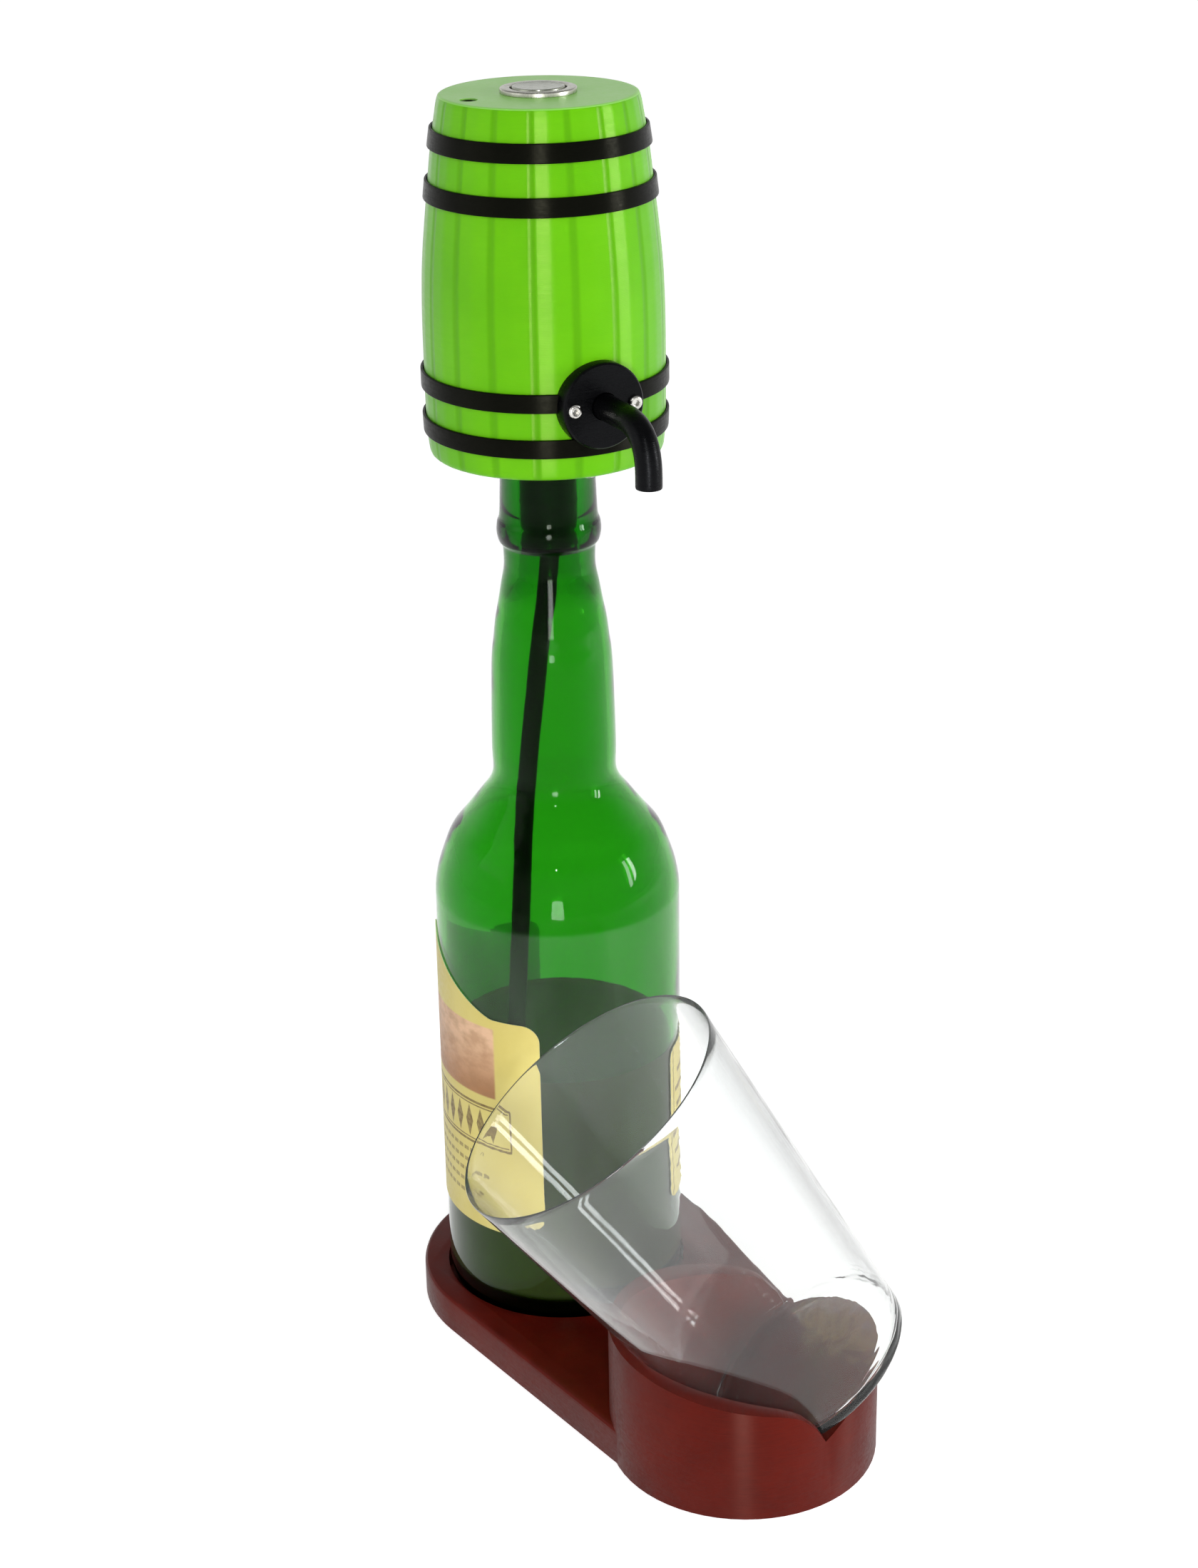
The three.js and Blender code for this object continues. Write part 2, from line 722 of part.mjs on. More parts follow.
// Each boss is a post with a web that reaches into the barrel's wall
function boss_roots() {
  const wall_middle = barrel_radius - barrel_wall;
  return Array.from({ length: cover_screw_count }, (unused, which) => {
    const angle = (which / cover_screw_count) * 2 * Math.PI;
    const low = cover_top + fit_gap;
    const high = cover_top + boss_height;
    const web = box([cover_screw_reach, -boss_radius, low], [wall_middle, boss_radius, high]);
    const post = cylinder(boss_radius, low, high, 16).translate(cover_screw_reach, 0, 0);
    const both = joined(web, post);
    return surface(both).rotateZ(angle);
  });
}

function barrel_cover() {
  const hole = core_radius + fit_gap;
  const disc = pipe(cover_radius, hole, head_bottom, cover_top, 48);
  const through = [head_bottom - overrun, cover_top + overrun];
  return cut(solid(disc), ...cover_bosses(cover_screw_shank + fit_gap, ...through));
}

function cover_screw(which) {
  const head_low = head_bottom - cover_screw_head_height;
  const angle = (which / cover_screw_count) * 2 * Math.PI;
  const place = heading_point(cover_screw_reach, angle, 0);
  const tip = head_bottom + cover_screw_length;
  const screw = turned([
    [0, head_low + screw_socket_depth], [screw_socket_radius, head_low + screw_socket_depth],
    [screw_socket_radius, head_low], [cover_screw_head * screw_crown_share, head_low],
    [cover_screw_head, head_bottom - fit_gap], [cover_screw_head, head_bottom],
    [cover_screw_shank, head_bottom], [cover_screw_shank, tip], [0, tip]], 12);
  return screw.translate(place.x, place.y, 0);
}

function hoop_edges(middle) {
  return [middle - hoop_width / 2, middle + hoop_width / 2];
}

function hoop(middle) {
  const [low, high] = hoop_edges(middle);
  const inner = [low, high].map((height) => [barrel_reach(height) + fit_gap, height]);
  const outer = [high, low].map((height) => [barrel_reach(height) + fit_gap + hoop_thickness, height]);
  return closed_ring([...inner, ...outer], hoop_sides);
}

// The lower hoop stops short under the flange, where the pipe and its screws go in
function open_hoop(middle) {
  const half = spout_screw_spread + spout_screw_shank + fit_gap;
  const [low, high] = hoop_edges(middle);
  return cut(solid(hoop(middle)), box([0, -half, low - overrun], [2 * barrel_radius, half, high + overrun]));
}

// Spout

function spout_flange() {
  const back = barrel_radius - flange_radius / 2;
  const disc = turned([
    [0, back], [flange_radius, back], [flange_radius, flange_face_reach - flange_chamfer],
    [flange_radius - flange_chamfer, flange_face_reach], [0, flange_face_reach]], 40)
    .rotateY(Math.PI / 2).translate(0, 0, spout_height);
  const swell = turned([[0, head_bottom], ...barrel_points(-fit_gap), [0, head_top]], 4 * stave_count);
  const hoop_seats = [lower_hoop, bottom_hoop].map((middle) => {
    const [low, high] = hoop_edges(middle);
    const reach = barrel_reach(middle) + 2 * fit_gap + hoop_thickness;
    return cylinder(reach, low - fit_gap, high + fit_gap, 4 * stave_count);
  });
  return cut(solid(disc), swell, ...hoop_seats, ...spout_bores());
}

function spout_curve(start) {
  const bend = new THREE.Vector3(spout_drop_reach, 0, spout_height);
  const before = new THREE.Vector3(spout_drop_reach - spout_bend_radius, 0, spout_height);
  const after = new THREE.Vector3(spout_drop_reach, 0, spout_height - spout_bend_radius);
  const path = new THREE.CurvePath();
  path.add(new THREE.LineCurve3(new THREE.Vector3(start, 0, spout_height), before));
  path.add(new THREE.QuadraticBezierCurve3(before, bend, after));
  return [path, after];
}

function spout_tube(radius, start, drop) {
  const [path, after] = spout_curve(start);
  path.add(new THREE.LineCurve3(after, new THREE.Vector3(spout_drop_reach, 0, drop)));
  return tube_along(path, radius, spout_sides, 18);
}

function spout_pipe() {
  const nipple = across_x(nipple_radius, spout_nipple_reach, spout_root_reach + overrun, spout_sides)
    .translate(0, 0, spout_height);
  const outside = joined(spout_tube(spout_pipe_radius, spout_root_reach, spout_mouth_height), nipple);
  return cut(outside, spout_tube(nipple_bore, spout_nipple_reach - overrun, spout_mouth_height - overrun));
}

function spout_screw(y) {
  const face = flange_face_reach;
  const tip = face - spout_screw_length;
  const top = face + spout_screw_head_height;
  const screw = turned([
    [0, tip], [spout_screw_shank, tip], [spout_screw_shank, face], [spout_screw_head, face],
    [spout_screw_head, face + spout_screw_head_height / 2], [spout_screw_head * screw_crown_share, top],
    [screw_socket_radius, top], [screw_socket_radius, top - screw_socket_depth],
    [0, top - screw_socket_depth]], 16);
  return screw.rotateY(Math.PI / 2).translate(0, y, spout_height);
}

// Push button

function button_bezel() {
  const inner = plunger_radius + fit_gap;
  return closed_ring([
    [plunger_stem_radius + fit_gap, button_floor_low], [button_barrel_radius, button_floor_low],
    [button_barrel_radius, head_top], [bezel_radius, head_top],
    [bezel_radius, bezel_top - bezel_proud / 3],
    [bezel_radius - bezel_proud / 2, bezel_top], [inner, bezel_top], [inner, button_floor_top],
    [plunger_stem_radius + fit_gap, button_floor_top]], 32);
}

function button_plunger() {
  const cap_low = plunger_top - plunger_cap_height;
  const stem_low = cap_low - plunger_stem_length;
  return turned([
    [0, stem_low], [plunger_stem_radius, stem_low], [plunger_stem_radius, cap_low], [plunger_radius, cap_low],
    [plunger_radius, plunger_top - fit_gap], [plunger_radius - fit_gap, plunger_top], [0, plunger_top]], 36);
}

function button_spring() {
  const low = button_floor_top + spring_wire_radius + fit_gap / 3;
  const high = plunger_top - plunger_cap_height - spring_wire_radius - fit_gap / 3;
  class Coil extends THREE.Curve {
    getPoint(share, target = new THREE.Vector3()) {
      const angle = share * spring_turns * 2 * Math.PI;
      const height = low + share * (high - low);
      return target.set(spring_coil_radius * Math.cos(angle), spring_coil_radius * Math.sin(angle), height);
    }
  }
  return tube_along(new Coil(), spring_wire_radius, 5, 8 * spring_turns);
}

function button_nut() {
  const high = head_top - barrel_roof;
  return pipe(button_nut_radius, button_barrel_radius + fit_gap, high - button_nut_height, high, 6 * 4);
}

function switch_block() {
  const top = button_floor_low;
  const low = top - switch_block_height;
  const recess = plunger_stem_radius + fit_gap;
  const block = turned([
    [0, low], [button_barrel_radius - fit_gap, low], [button_barrel_radius - fit_gap, top], [recess, top],
    [recess, top - switch_recess_depth], [0, top - switch_recess_depth]], 28);
  const terminals = [-terminal_spread, terminal_spread].map((x) =>
    box([x - terminal_thickness / 2, -terminal_width / 2, low - terminal_length],
      [x + terminal_thickness / 2, terminal_width / 2, low + overrun]));
  return joined(block, ...terminals);
}

// Charging socket and board

function socket_place() {
  return heading_point(socket_reach, socket_heading_degrees * degree, 0);
}

function charge_socket() {
  const mouth = head_top - socket_recess;
  const place = socket_place();
  return turned([
    [0, socket_low], [socket_body_radius, socket_low], [socket_body_radius, socket_shoulder],
    [socket_nose_radius, socket_shoulder], [socket_nose_radius, mouth], [socket_bore, mouth],
    [socket_bore, socket_low + overrun], [0, socket_low + overrun]], 20).translate(place.x, place.y, 0);
}

function charge_board() {
  return box([-board_length / 2, -board_width / 2, socket_low - board_thickness],
    [board_length / 2, board_width / 2, socket_low])
    .translate(0, -board_reach, 0);
}

// Battery

function battery_cell() {
  const high = cell_low + cell_length;
  return turned([
    [0, cell_low], [cell_radius, cell_low], [cell_radius, high], [cell_terminal_radius, high],
    [cell_terminal_radius, high + cell_terminal_height], [0, high + cell_terminal_height]], 28)
    .translate(cell_reach, 0, 0);
}

function battery_cup() {
  const inner = cell_radius + fit_gap;
  const cup = closed_ring([[0, cover_top], [cup_radius, cover_top], [cup_radius, cover_top + cup_height],
    [inner, cover_top + cup_height], [inner, cell_low], [0, cell_low]], 28).translate(cell_reach, 0, 0);
  const slot = box([cell_reach, -cup_slot_width / 2, cell_low + 2 * overrun],
    [cell_reach + 2 * cup_radius, cup_slot_width / 2, cover_top + cup_height + overrun]);
  return cut(solid(cup), slot);
}

// Pump and motor

function pump_stand() {
  const ring = pipe(pump_radius, pump_radius - pump_stand_wall, cover_top, stand_top, 32);
  const window_low = cover_top + pump_stand_wall;
  const window_high = stand_top - pump_stand_wall;
  const half = pump_window_width / 2;
  const along = box([-2 * pump_radius, -half, window_low], [2 * pump_radius, half, window_high]);
  const across = box([-half, -2 * pump_radius, window_low], [half, 2 * pump_radius, window_high]);
  const flange_top = cover_top + core_flange_thickness + fit_gap;
  const flange = cylinder(core_flange_radius + fit_gap, cover_top - overrun, flange_top, 28)
    .translate(-pump_reach, 0, 0);
  return surface(cut(solid(ring), along, across, flange)).translate(pump_reach, 0, 0);
}

function pump_cover() {
  const disc = cylinder(pump_radius, stand_top, housing_low, 32).translate(pump_reach, 0, 0);
  const barb = cylinder(nipple_radius, stand_top - inlet_barb_length, stand_top + pump_cover_height / 2, 14);
  const bore = cylinder(nipple_bore, stand_top - 2 * inlet_barb_length, housing_low + overrun, 14);
  return cut(joined(disc, barb), bore);
}

function pump_housing() {
  const seat = seal_radius + fit_gap;
  const body = closed_ring([
    [pump_cavity_radius, housing_low], [pump_radius, housing_low], [pump_radius, housing_top],
    [seat, housing_top], [seat, seal_low], [shaft_radius + fit_gap, seal_low],
    [shaft_radius + fit_gap, cavity_top], [pump_cavity_radius, cavity_top]], 32).translate(pump_reach, 0, 0);
  const start = pump_reach + pump_cavity_radius;
  const end = pump_reach + pump_radius + outlet_barb_length;
  const barb = across_x(nipple_radius, start + overrun / 2, end, 14).translate(0, 0, spout_height);
  const bore = across_x(nipple_bore, start - overrun, end + overrun, 14).translate(0, 0, spout_height);
  return cut(joined(body, barb), bore);
}

function shaft_seal() {
  const high = seal_low + seal_height;
  return pipe(seal_radius, shaft_radius + shaft_running_gap, seal_low, high, 20).translate(pump_reach, 0, 0);
}

function pump_rotor() {
  const hub = pipe(rotor_hub_radius, shaft_radius + shaft_running_gap, rotor_low, rotor_top, 24);
  const inner = (rotor_hub_radius + shaft_radius) / 2;
  const blades = Array.from({ length: rotor_blade_count }, (unused, which) =>
    box([inner, -rotor_blade_thickness / 2, rotor_low], [rotor_radius, rotor_blade_thickness / 2, rotor_top])
      .rotateZ((which / rotor_blade_count) * 2 * Math.PI));
  return surface(joined(hub, ...blades)).translate(pump_reach, 0, 0);
}

function motor_can() {
  const hole = shaft_radius + shaft_running_gap;
  return pipe(motor_radius, hole, housing_top, motor_top, 32).translate(pump_reach, 0, 0);
}

function motor_cap() {
  const hole = shaft_radius + shaft_running_gap;
  const high = motor_top + motor_cap_height;
  return pipe(motor_cap_radius, hole, motor_top, high, 28).translate(pump_reach, 0, 0);
}

function motor_shaft() {
  return cylinder(shaft_radius, rotor_low, motor_top + motor_cap_height + shaft_stub, 16)
    .translate(pump_reach, 0, 0);
}

function inlet_hose() {
  const low = cover_top + core_flange_thickness + fit_gap;
  return pipe(hose_radius, hose_bore, low, stand_top - fit_gap, hose_sides);
}

function outlet_hose() {
  const near = pump_reach + pump_radius + fit_gap;
  const outline = closed_ring([[hose_bore, near], [hose_radius, near],
    [hose_radius, spout_root_reach - fit_gap], [hose_bore, spout_root_reach - fit_gap]], hose_sides);
  return outline.rotateY(Math.PI / 2).translate(0, 0, spout_height);
}

// Stopper

function stopper_sleeve() {
  const collar_low = sleeve_top - sleeve_collar_thickness;
  const ribs = sleeve_rib_shares.flatMap((share) => {
    const height = sleeve_low + share * sleeve_length;
    const half = (sleeve_rib_width_share * sleeve_length) / 2;
    return [[sleeve_radius - sleeve_rib_height, height - half], [sleeve_radius, height - half / 2],
      [sleeve_radius, height + half / 2], [sleeve_radius - sleeve_rib_height, height + half]];
  });
  return closed_ring([
    [sleeve_bore, sleeve_low], [sleeve_radius - sleeve_rib_height, sleeve_low], ...ribs,
    [sleeve_radius - sleeve_rib_height, collar_low],
    [sleeve_collar_radius, collar_low], [sleeve_collar_radius, sleeve_top], [sleeve_bore, sleeve_top]], 20);
}

function stopper_core() {
  const lip_top = sleeve_low - fit_gap;
  const flange_top = cover_top + core_flange_thickness;
  return closed_ring([
    [core_bore, lip_top - core_lip_thickness], [core_lip_radius, lip_top - core_lip_thickness],
    [core_lip_radius, lip_top], [core_radius, lip_top], [core_radius, cover_top],
    [core_flange_radius, cover_top], [core_flange_radius, flange_top], [nipple_radius, flange_top],
    [nipple_radius, flange_top + nipple_length], [nipple_bore, flange_top + nipple_length],
    [nipple_bore, cover_top - core_flange_thickness], [core_bore, cover_top - core_flange_thickness]], 28);
}

function dip_tube() {
  const heading = dip_tube_heading_degrees * degree;
  const points = dip_tube_route.map(([reach, height]) => heading_point(reach, heading, height));
  return tube_between(points, dip_tube_radius, dip_tube_sides, dip_tube_steps);
}

// Wires: each runs from piece to piece by way of points in shares of the barrel's radius
// and of the wire's own rise

function on_board(length_share, width_share) {
  const [x, y] = [length_share * board_length, width_share * board_width - board_reach];
  return new THREE.Vector3(x, y, board_low - wire_end_gap);
}

function on_motor(side) {
  const reach = motor_cap_radius / 2;
  return new THREE.Vector3(pump_reach + reach, side * reach, motor_tag_height);
}

function wire(start, via_shares, finish) {
  const via = via_shares.map(([x, y, rise]) =>
    new THREE.Vector3(x * barrel_radius, y * barrel_radius, start.z + rise * (finish.z - start.z)));
  return tube_between([start, ...via, finish], wire_radius, wire_sides, wire_steps);
}

function battery_plus_wire() {
  const start = new THREE.Vector3(cell_reach, 0, cell_top + cell_terminal_height + wire_end_gap);
  return wire(start, [[-0.52, -0.1, 0.17], [-0.38, -0.3, 0.51], [-0.2, -0.42, 0.75]], on_board(-0.25, 0.3));
}

function battery_minus_wire() {
  const start = new THREE.Vector3(cell_reach - cell_radius / 2, 0, cell_top + wire_end_gap);
  return wire(start, [[-0.66, -0.16, 0.21], [-0.5, -0.42, 0.53], [-0.3, -0.58, 0.8]], on_board(-0.4, -0.3));
}

function motor_board_wire() {
  const via_shares = [[0.33, -0.24, 0.22], [0.3, -0.4, 0.49], [0.18, -0.52, 0.76]];
  return wire(on_motor(-1), via_shares, on_board(0.25, 0.1));
}

function motor_switch_wire() {
  const finish = new THREE.Vector3(-terminal_spread, 0, terminal_tip);
  return wire(on_motor(1), [[0.2, 0.2, 0.28], [0, 0.16, 0.57], [-0.09, 0.04, 0.82]], finish);
}

function switch_board_wire() {
  const start = new THREE.Vector3(terminal_spread, 0, terminal_tip);
  return wire(start, [[0.13, -0.1, -0.2], [0.2, -0.27, -0.1], [0.26, -0.45, 0.3]], on_board(0.42, -0.25));
}

// The object

const head = new THREE.Group();
head.rotation.z = head_turn;
head.add(
  node("barrel_shell", barrel_shell(), barrel_material),
  node("barrel_cover", barrel_cover(), barrel_material),
  node("hoop_top", hoop(top_hoop), black_material),
  node("hoop_upper", hoop(upper_hoop), black_material),
  node("hoop_lower", open_hoop(lower_hoop), black_material),
  node("hoop_bottom", hoop(bottom_hoop), black_material),
  node("spout_flange", spout_flange(), black_material),
  node("spout_pipe", spout_pipe(), black_material),
  node("button_bezel", button_bezel(), steel_material),
  node("button_plunger", button_plunger(), bright_steel_material),
  node("button_spring", button_spring(), spring_material),
  node("button_nut", button_nut(), steel_material),
  node("switch_block", switch_block(), black_material),
  node("charge_socket", charge_socket(), black_material),
  node("charge_board", charge_board(), board_material),
  node("battery_cell", battery_cell(), cell_material),
  node("battery_cup", battery_cup(), black_material),
  node("pump_stand", pump_stand(), black_material),
  node("pump_cover", pump_cover(), pump_material),
  node("pump_housing", pump_housing(), pump_material),
  node("pump_rotor", pump_rotor(), rubber_material),
  node("shaft_seal", shaft_seal(), rubber_material),
  node("motor_can", motor_can(), motor_material),
  node("motor_cap", motor_cap(), pump_material),
  node("motor_shaft", motor_shaft(), brass_material),
  node("inlet_hose", inlet_hose(), hose_material),
  node("outlet_hose", outlet_hose(), hose_material),
  node("stopper_core", stopper_core(), black_material),
  node("wire_battery_plus", battery_plus_wire(), red_wire_material),
  node("wire_battery_minus", battery_minus_wire(), black_wire_material),
  node("wire_motor_board", motor_board_wire(), black_wire_material),
  node("wire_motor_switch", motor_switch_wire(), red_wire_material),
  node("wire_switch_board", switch_board_wire(), red_wire_material),
);
for (let which = 0; which < cover_screw_count; which += 1) {
  head.add(node(`cover_screw_${which + 1}`, cover_screw(which), bright_steel_material));
}
spout_screw_places().forEach((y, which) => {
  head.add(node(`spout_screw_${which + 1}`, spout_screw(y), bright_steel_material));
});

const pourer = new THREE.Group();
pourer.add(
  node("stand", stand(), stand_material),
  node("bottle", bottle(), bottle_material),
  node("label_front", front_label(), label_material),
  node("label_back", back_label(), label_material),
  node("tumbler", tumbler(), tumbler_material),
  node("stopper_sleeve", stopper_sleeve(), rubber_material),
  node("dip_tube", dip_tube(), black_material),
  head,
);

export default pourer;
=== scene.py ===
# Looks of the electric cider pourer: metres, Z up, the CAD's own frame.
import math

import bmesh
import bpy
from mathutils import Matrix, Vector

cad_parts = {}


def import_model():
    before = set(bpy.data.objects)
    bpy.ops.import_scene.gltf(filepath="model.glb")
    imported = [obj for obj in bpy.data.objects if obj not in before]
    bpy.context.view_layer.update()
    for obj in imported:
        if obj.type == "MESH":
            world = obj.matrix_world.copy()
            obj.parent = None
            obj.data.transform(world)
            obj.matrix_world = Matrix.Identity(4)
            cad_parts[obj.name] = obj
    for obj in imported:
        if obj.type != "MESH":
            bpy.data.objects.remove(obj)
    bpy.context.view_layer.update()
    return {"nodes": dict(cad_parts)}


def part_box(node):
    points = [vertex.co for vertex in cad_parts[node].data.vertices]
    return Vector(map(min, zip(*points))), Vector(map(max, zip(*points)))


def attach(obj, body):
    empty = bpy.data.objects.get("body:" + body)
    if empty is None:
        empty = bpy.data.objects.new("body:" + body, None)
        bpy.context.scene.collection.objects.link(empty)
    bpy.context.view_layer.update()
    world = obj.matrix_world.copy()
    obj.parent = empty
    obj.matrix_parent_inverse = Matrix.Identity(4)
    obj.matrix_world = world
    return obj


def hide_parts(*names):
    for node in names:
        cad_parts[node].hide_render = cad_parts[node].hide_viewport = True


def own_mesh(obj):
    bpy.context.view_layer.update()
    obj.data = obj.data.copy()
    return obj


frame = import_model()

# Sizes are in millimetres, as in the part's source, up to where MM turns them into metres.
MM = 0.001
HEAD_TURN = math.radians(-5.5)  # the head's turn about the bottle's axis
LEAN = math.radians(35)  # the glass's lean, and which way it leans
LEAN_HEADING = math.radians(-116)
FOOT_PLACE = Vector((117.1, 19.68, 24.7))  # the middle of the glass's foot
WALL = 2.5  # the bottle's glass
FRONT_HEADING, BACK_HEADING = -120.6, 59.4  # the way each label faces, in degrees
HEAD_BOTTOM, BARREL_HEIGHT, BARREL_RADIUS = 300.2, 107.9, 36.75
HEAD_TOP = HEAD_BOTTOM + BARREL_HEIGHT
STAVES, STAVE_DEGREES = 18, 20

# ---------------------------------------------------------------- camera
VIEW_TURN = math.radians(59.4)
CAMERA_REACH, CAMERA_HEIGHT = 853.46, 551.58
PITCH, YAW, ROLL = 0.403, 0.0166, -0.0176
FILM_WIDTH, FOCAL_LENGTH = 36, 66.08
NEAREST, FARTHEST = 0.02, 50


def shown(name, data):
    """A new object of the scene, with that data."""
    made = bpy.data.objects.new(name, data)
    bpy.context.scene.collection.objects.link(made)
    return made


def make_camera():
    """Makes the camera at the photograph's place, and gives the way it looks."""
    turn = Matrix.Rotation(VIEW_TURN, 3, "Z")
    forward = Vector((math.sin(YAW) * math.cos(PITCH), math.cos(YAW) * math.cos(PITCH), -math.sin(PITCH)))
    right = Vector((math.cos(YAW), -math.sin(YAW), 0))
    up = right.cross(forward)
    across = math.cos(ROLL) * right + math.sin(ROLL) * up
    upward = -math.sin(ROLL) * right + math.cos(ROLL) * up
    axes = Matrix((turn @ across, turn @ upward, turn @ -forward)).transposed()
    place = turn @ Vector((0, -CAMERA_REACH, CAMERA_HEIGHT)) * MM
    data = bpy.data.cameras.new("camera")
    data.sensor_fit = "AUTO"
    data.sensor_width = FILM_WIDTH
    data.lens = FOCAL_LENGTH
    data.clip_start, data.clip_end = NEAREST, FARTHEST
    camera = shown("camera", data)
    camera.matrix_world = Matrix.Translation(place) @ axes.to_4x4()
    bpy.context.scene.camera = camera
    return turn @ forward


camera_forward = make_camera()

# ---------------------------------------------------------------- node helpers

BANDS_PER_METRE = 3.1831  # of a wave texture, at scale 1


class Shader:
    """The nodes of a material or a world, with short calls for what the scene needs."""

    def __init__(self, name, kept_in="materials", output="ShaderNodeOutputMaterial"):
        self.owner = getattr(bpy.data, kept_in).new(name)
        self.owner.use_nodes = True
        self.tree = self.owner.node_tree
        self.tree.nodes.clear()
        self.output = self.add(output)
        self.place = None
        if kept_in == "materials":
            self.place = self.add("ShaderNodeTexCoord").outputs["Object"]

    def add(self, kind, inputs=None, **settings):
        """A new node, with its settings and what goes into its inputs."""
        made = self.tree.nodes.new(kind)
        for key, value in settings.items():
            setattr(made, key, value)
        for key, value in (inputs or {}).items():
            self.put(made.inputs[key], value)
        return made

    def put(self, socket, value):
        if isinstance(value, bpy.types.NodeSocket):
            self.tree.links.new(value, socket)
        elif value is not None:
            if hasattr(socket.default_value, "__len__") and hasattr(value, "__len__"):
                if len(socket.default_value) == 4 and len(value) == 3:
                    value = (*value, 1)
            socket.default_value = value

    def surface(self, shader):
        self.put(self.output.inputs["Surface"], shader)

    def principled(self, **values):
        made = self.add("ShaderNodeBsdfPrincipled", {key.replace("_", " "): value for key, value in values.items()})
        self.surface(made.outputs[0])
        return made

    def blended(self, share, first, second):
        """A shader that goes from the first to the second as share goes from 0 to 1."""
        return self.add("ShaderNodeMixShader", {0: share, 1: first, 2: second}).outputs[0]

    def vector(self, operation, a, b=None):
        return self.add("ShaderNodeVectorMath", {0: a, 1: b}, operation=operation).outputs

    def along_axes(self, place, turn, scales=(1, 1, 1)):
        """The place in a turned frame, with each axis scaled: the whole vector, and its three parts."""
        parts = [self.vector("DOT_PRODUCT", place, turn.col[axis] * scale)["Value"]
                 for axis, scale in enumerate(scales)]
        return self.add("ShaderNodeCombineXYZ", dict(enumerate(parts))).outputs[0], parts

    def noise(self, scale, detail, stretch=None, vector=None):
        if stretch:
            vector = self.add("ShaderNodeMapping", {"Vector": self.place, "Scale": stretch}).outputs[0]
        made = self.add("ShaderNodeTexNoise", {"Vector": vector or self.place, "Scale": scale, "Detail": detail})
        return made.outputs["Fac"]

    def bands(self, vector, scale, distortion, detail, detail_scale):
        inputs = {"Vector": vector, "Scale": scale, "Distortion": distortion, "Detail": detail,
                  "Detail Scale": detail_scale}
        made = self.add("ShaderNodeTexWave", inputs, wave_type="BANDS", bands_direction="Z", wave_profile="SIN")
        return made.outputs["Fac"]

    def layers(self, pitch):
        """Print layers: bands that follow each other up the piece."""
        return self.bands(self.place, 1 / (pitch * BANDS_PER_METRE), 0.6, 2, 2)

    def math(self, operation, a, b=None):
        return self.add("ShaderNodeMath", {0: a, 1: b}, operation=operation).outputs[0]

    def times(self, a, b):
        return self.math("MULTIPLY", a, b)

    def gap(self, a, b):
        """How far the two values are apart."""
        return self.math("ABSOLUTE", self.math("SUBTRACT", a, b))

    def spread(self, value, low, high, to_low=0.0, to_high=1.0, kind="LINEAR"):
        inputs = {"Value": value, "From Min": low, "From Max": high, "To Min": to_low, "To Max": to_high}
        return self.add("ShaderNodeMapRange", inputs, interpolation_type=kind).outputs[0]

    def mix(self, factor, a, b):
        return self.add("ShaderNodeMix", {0: factor, 6: a, 7: b}, data_type="RGBA").outputs[2]

    def bump(self, height, distance, normal=None):
        return self.add("ShaderNodeBump", {"Distance": distance, "Height": height, "Normal": normal}).outputs[0]

    def uneven(self, *heights):
        """A normal that each (height, distance) pair in turn makes uneven."""
        normal = None
        for height, distance in heights:
            normal = self.bump(height, distance, normal)
        return normal

    def parts(self, vector=None):
        return self.add("ShaderNodeSeparateXYZ", {0: vector or self.place}).outputs

    def seen(self):
        """1 for the rays that show the surroundings: straight on, through glass and off gloss. 0 for the rest."""
        path = self.add("ShaderNodeLightPath").outputs
        direct = self.math("MAXIMUM", path["Is Camera Ray"], path["Is Transmission Ray"])
        return self.math("MAXIMUM", direct, path["Is Glossy Ray"])


# ---------------------------------------------------------------- materials

MOST = (0.3, 0.7)  # where most of a noise's values lie
MOST_OF_TWO = (0.7, 1.35)  # and most sums of two noises
JUST_OFF_UP = (0.02, 0.01, 1.0)  # so that level faces have a tangent too
LEVEL_STREAKS = (210, 210, 900)
DUST_AND_HAZE_COLOUR = (0.92, 0.95, 0.93)  # of the pale film on glass, partly dust and partly a painted reflection haze
LABEL_INNER, LABEL_OUTER = 40.2, 40.4


def linear(red, green, blue):
    """The colour with these sRGB values, from 0 to 255."""
    def one(value):
        value /= 255
        return value / 12.92 if value <= 0.04045 else ((value + 0.055) / 1.055) ** 2.4
    return tuple(one(value) for value in (red, green, blue))


def upright(look):
    """The way up, along which level layers spread a highlight."""
    return look.add("ShaderNodeCombineXYZ", dict(enumerate(JUST_OFF_UP))).outputs[0]


def stretched(look, amount):
    """The stretch of the highlight: as given on upright faces, none on level ones."""
    normal = look.add("ShaderNodeNewGeometry").outputs["True Normal"]
    level = look.math("ABSOLUTE", look.parts(normal)[2])
    return look.spread(level, 0.5, 0.85, amount, 0)


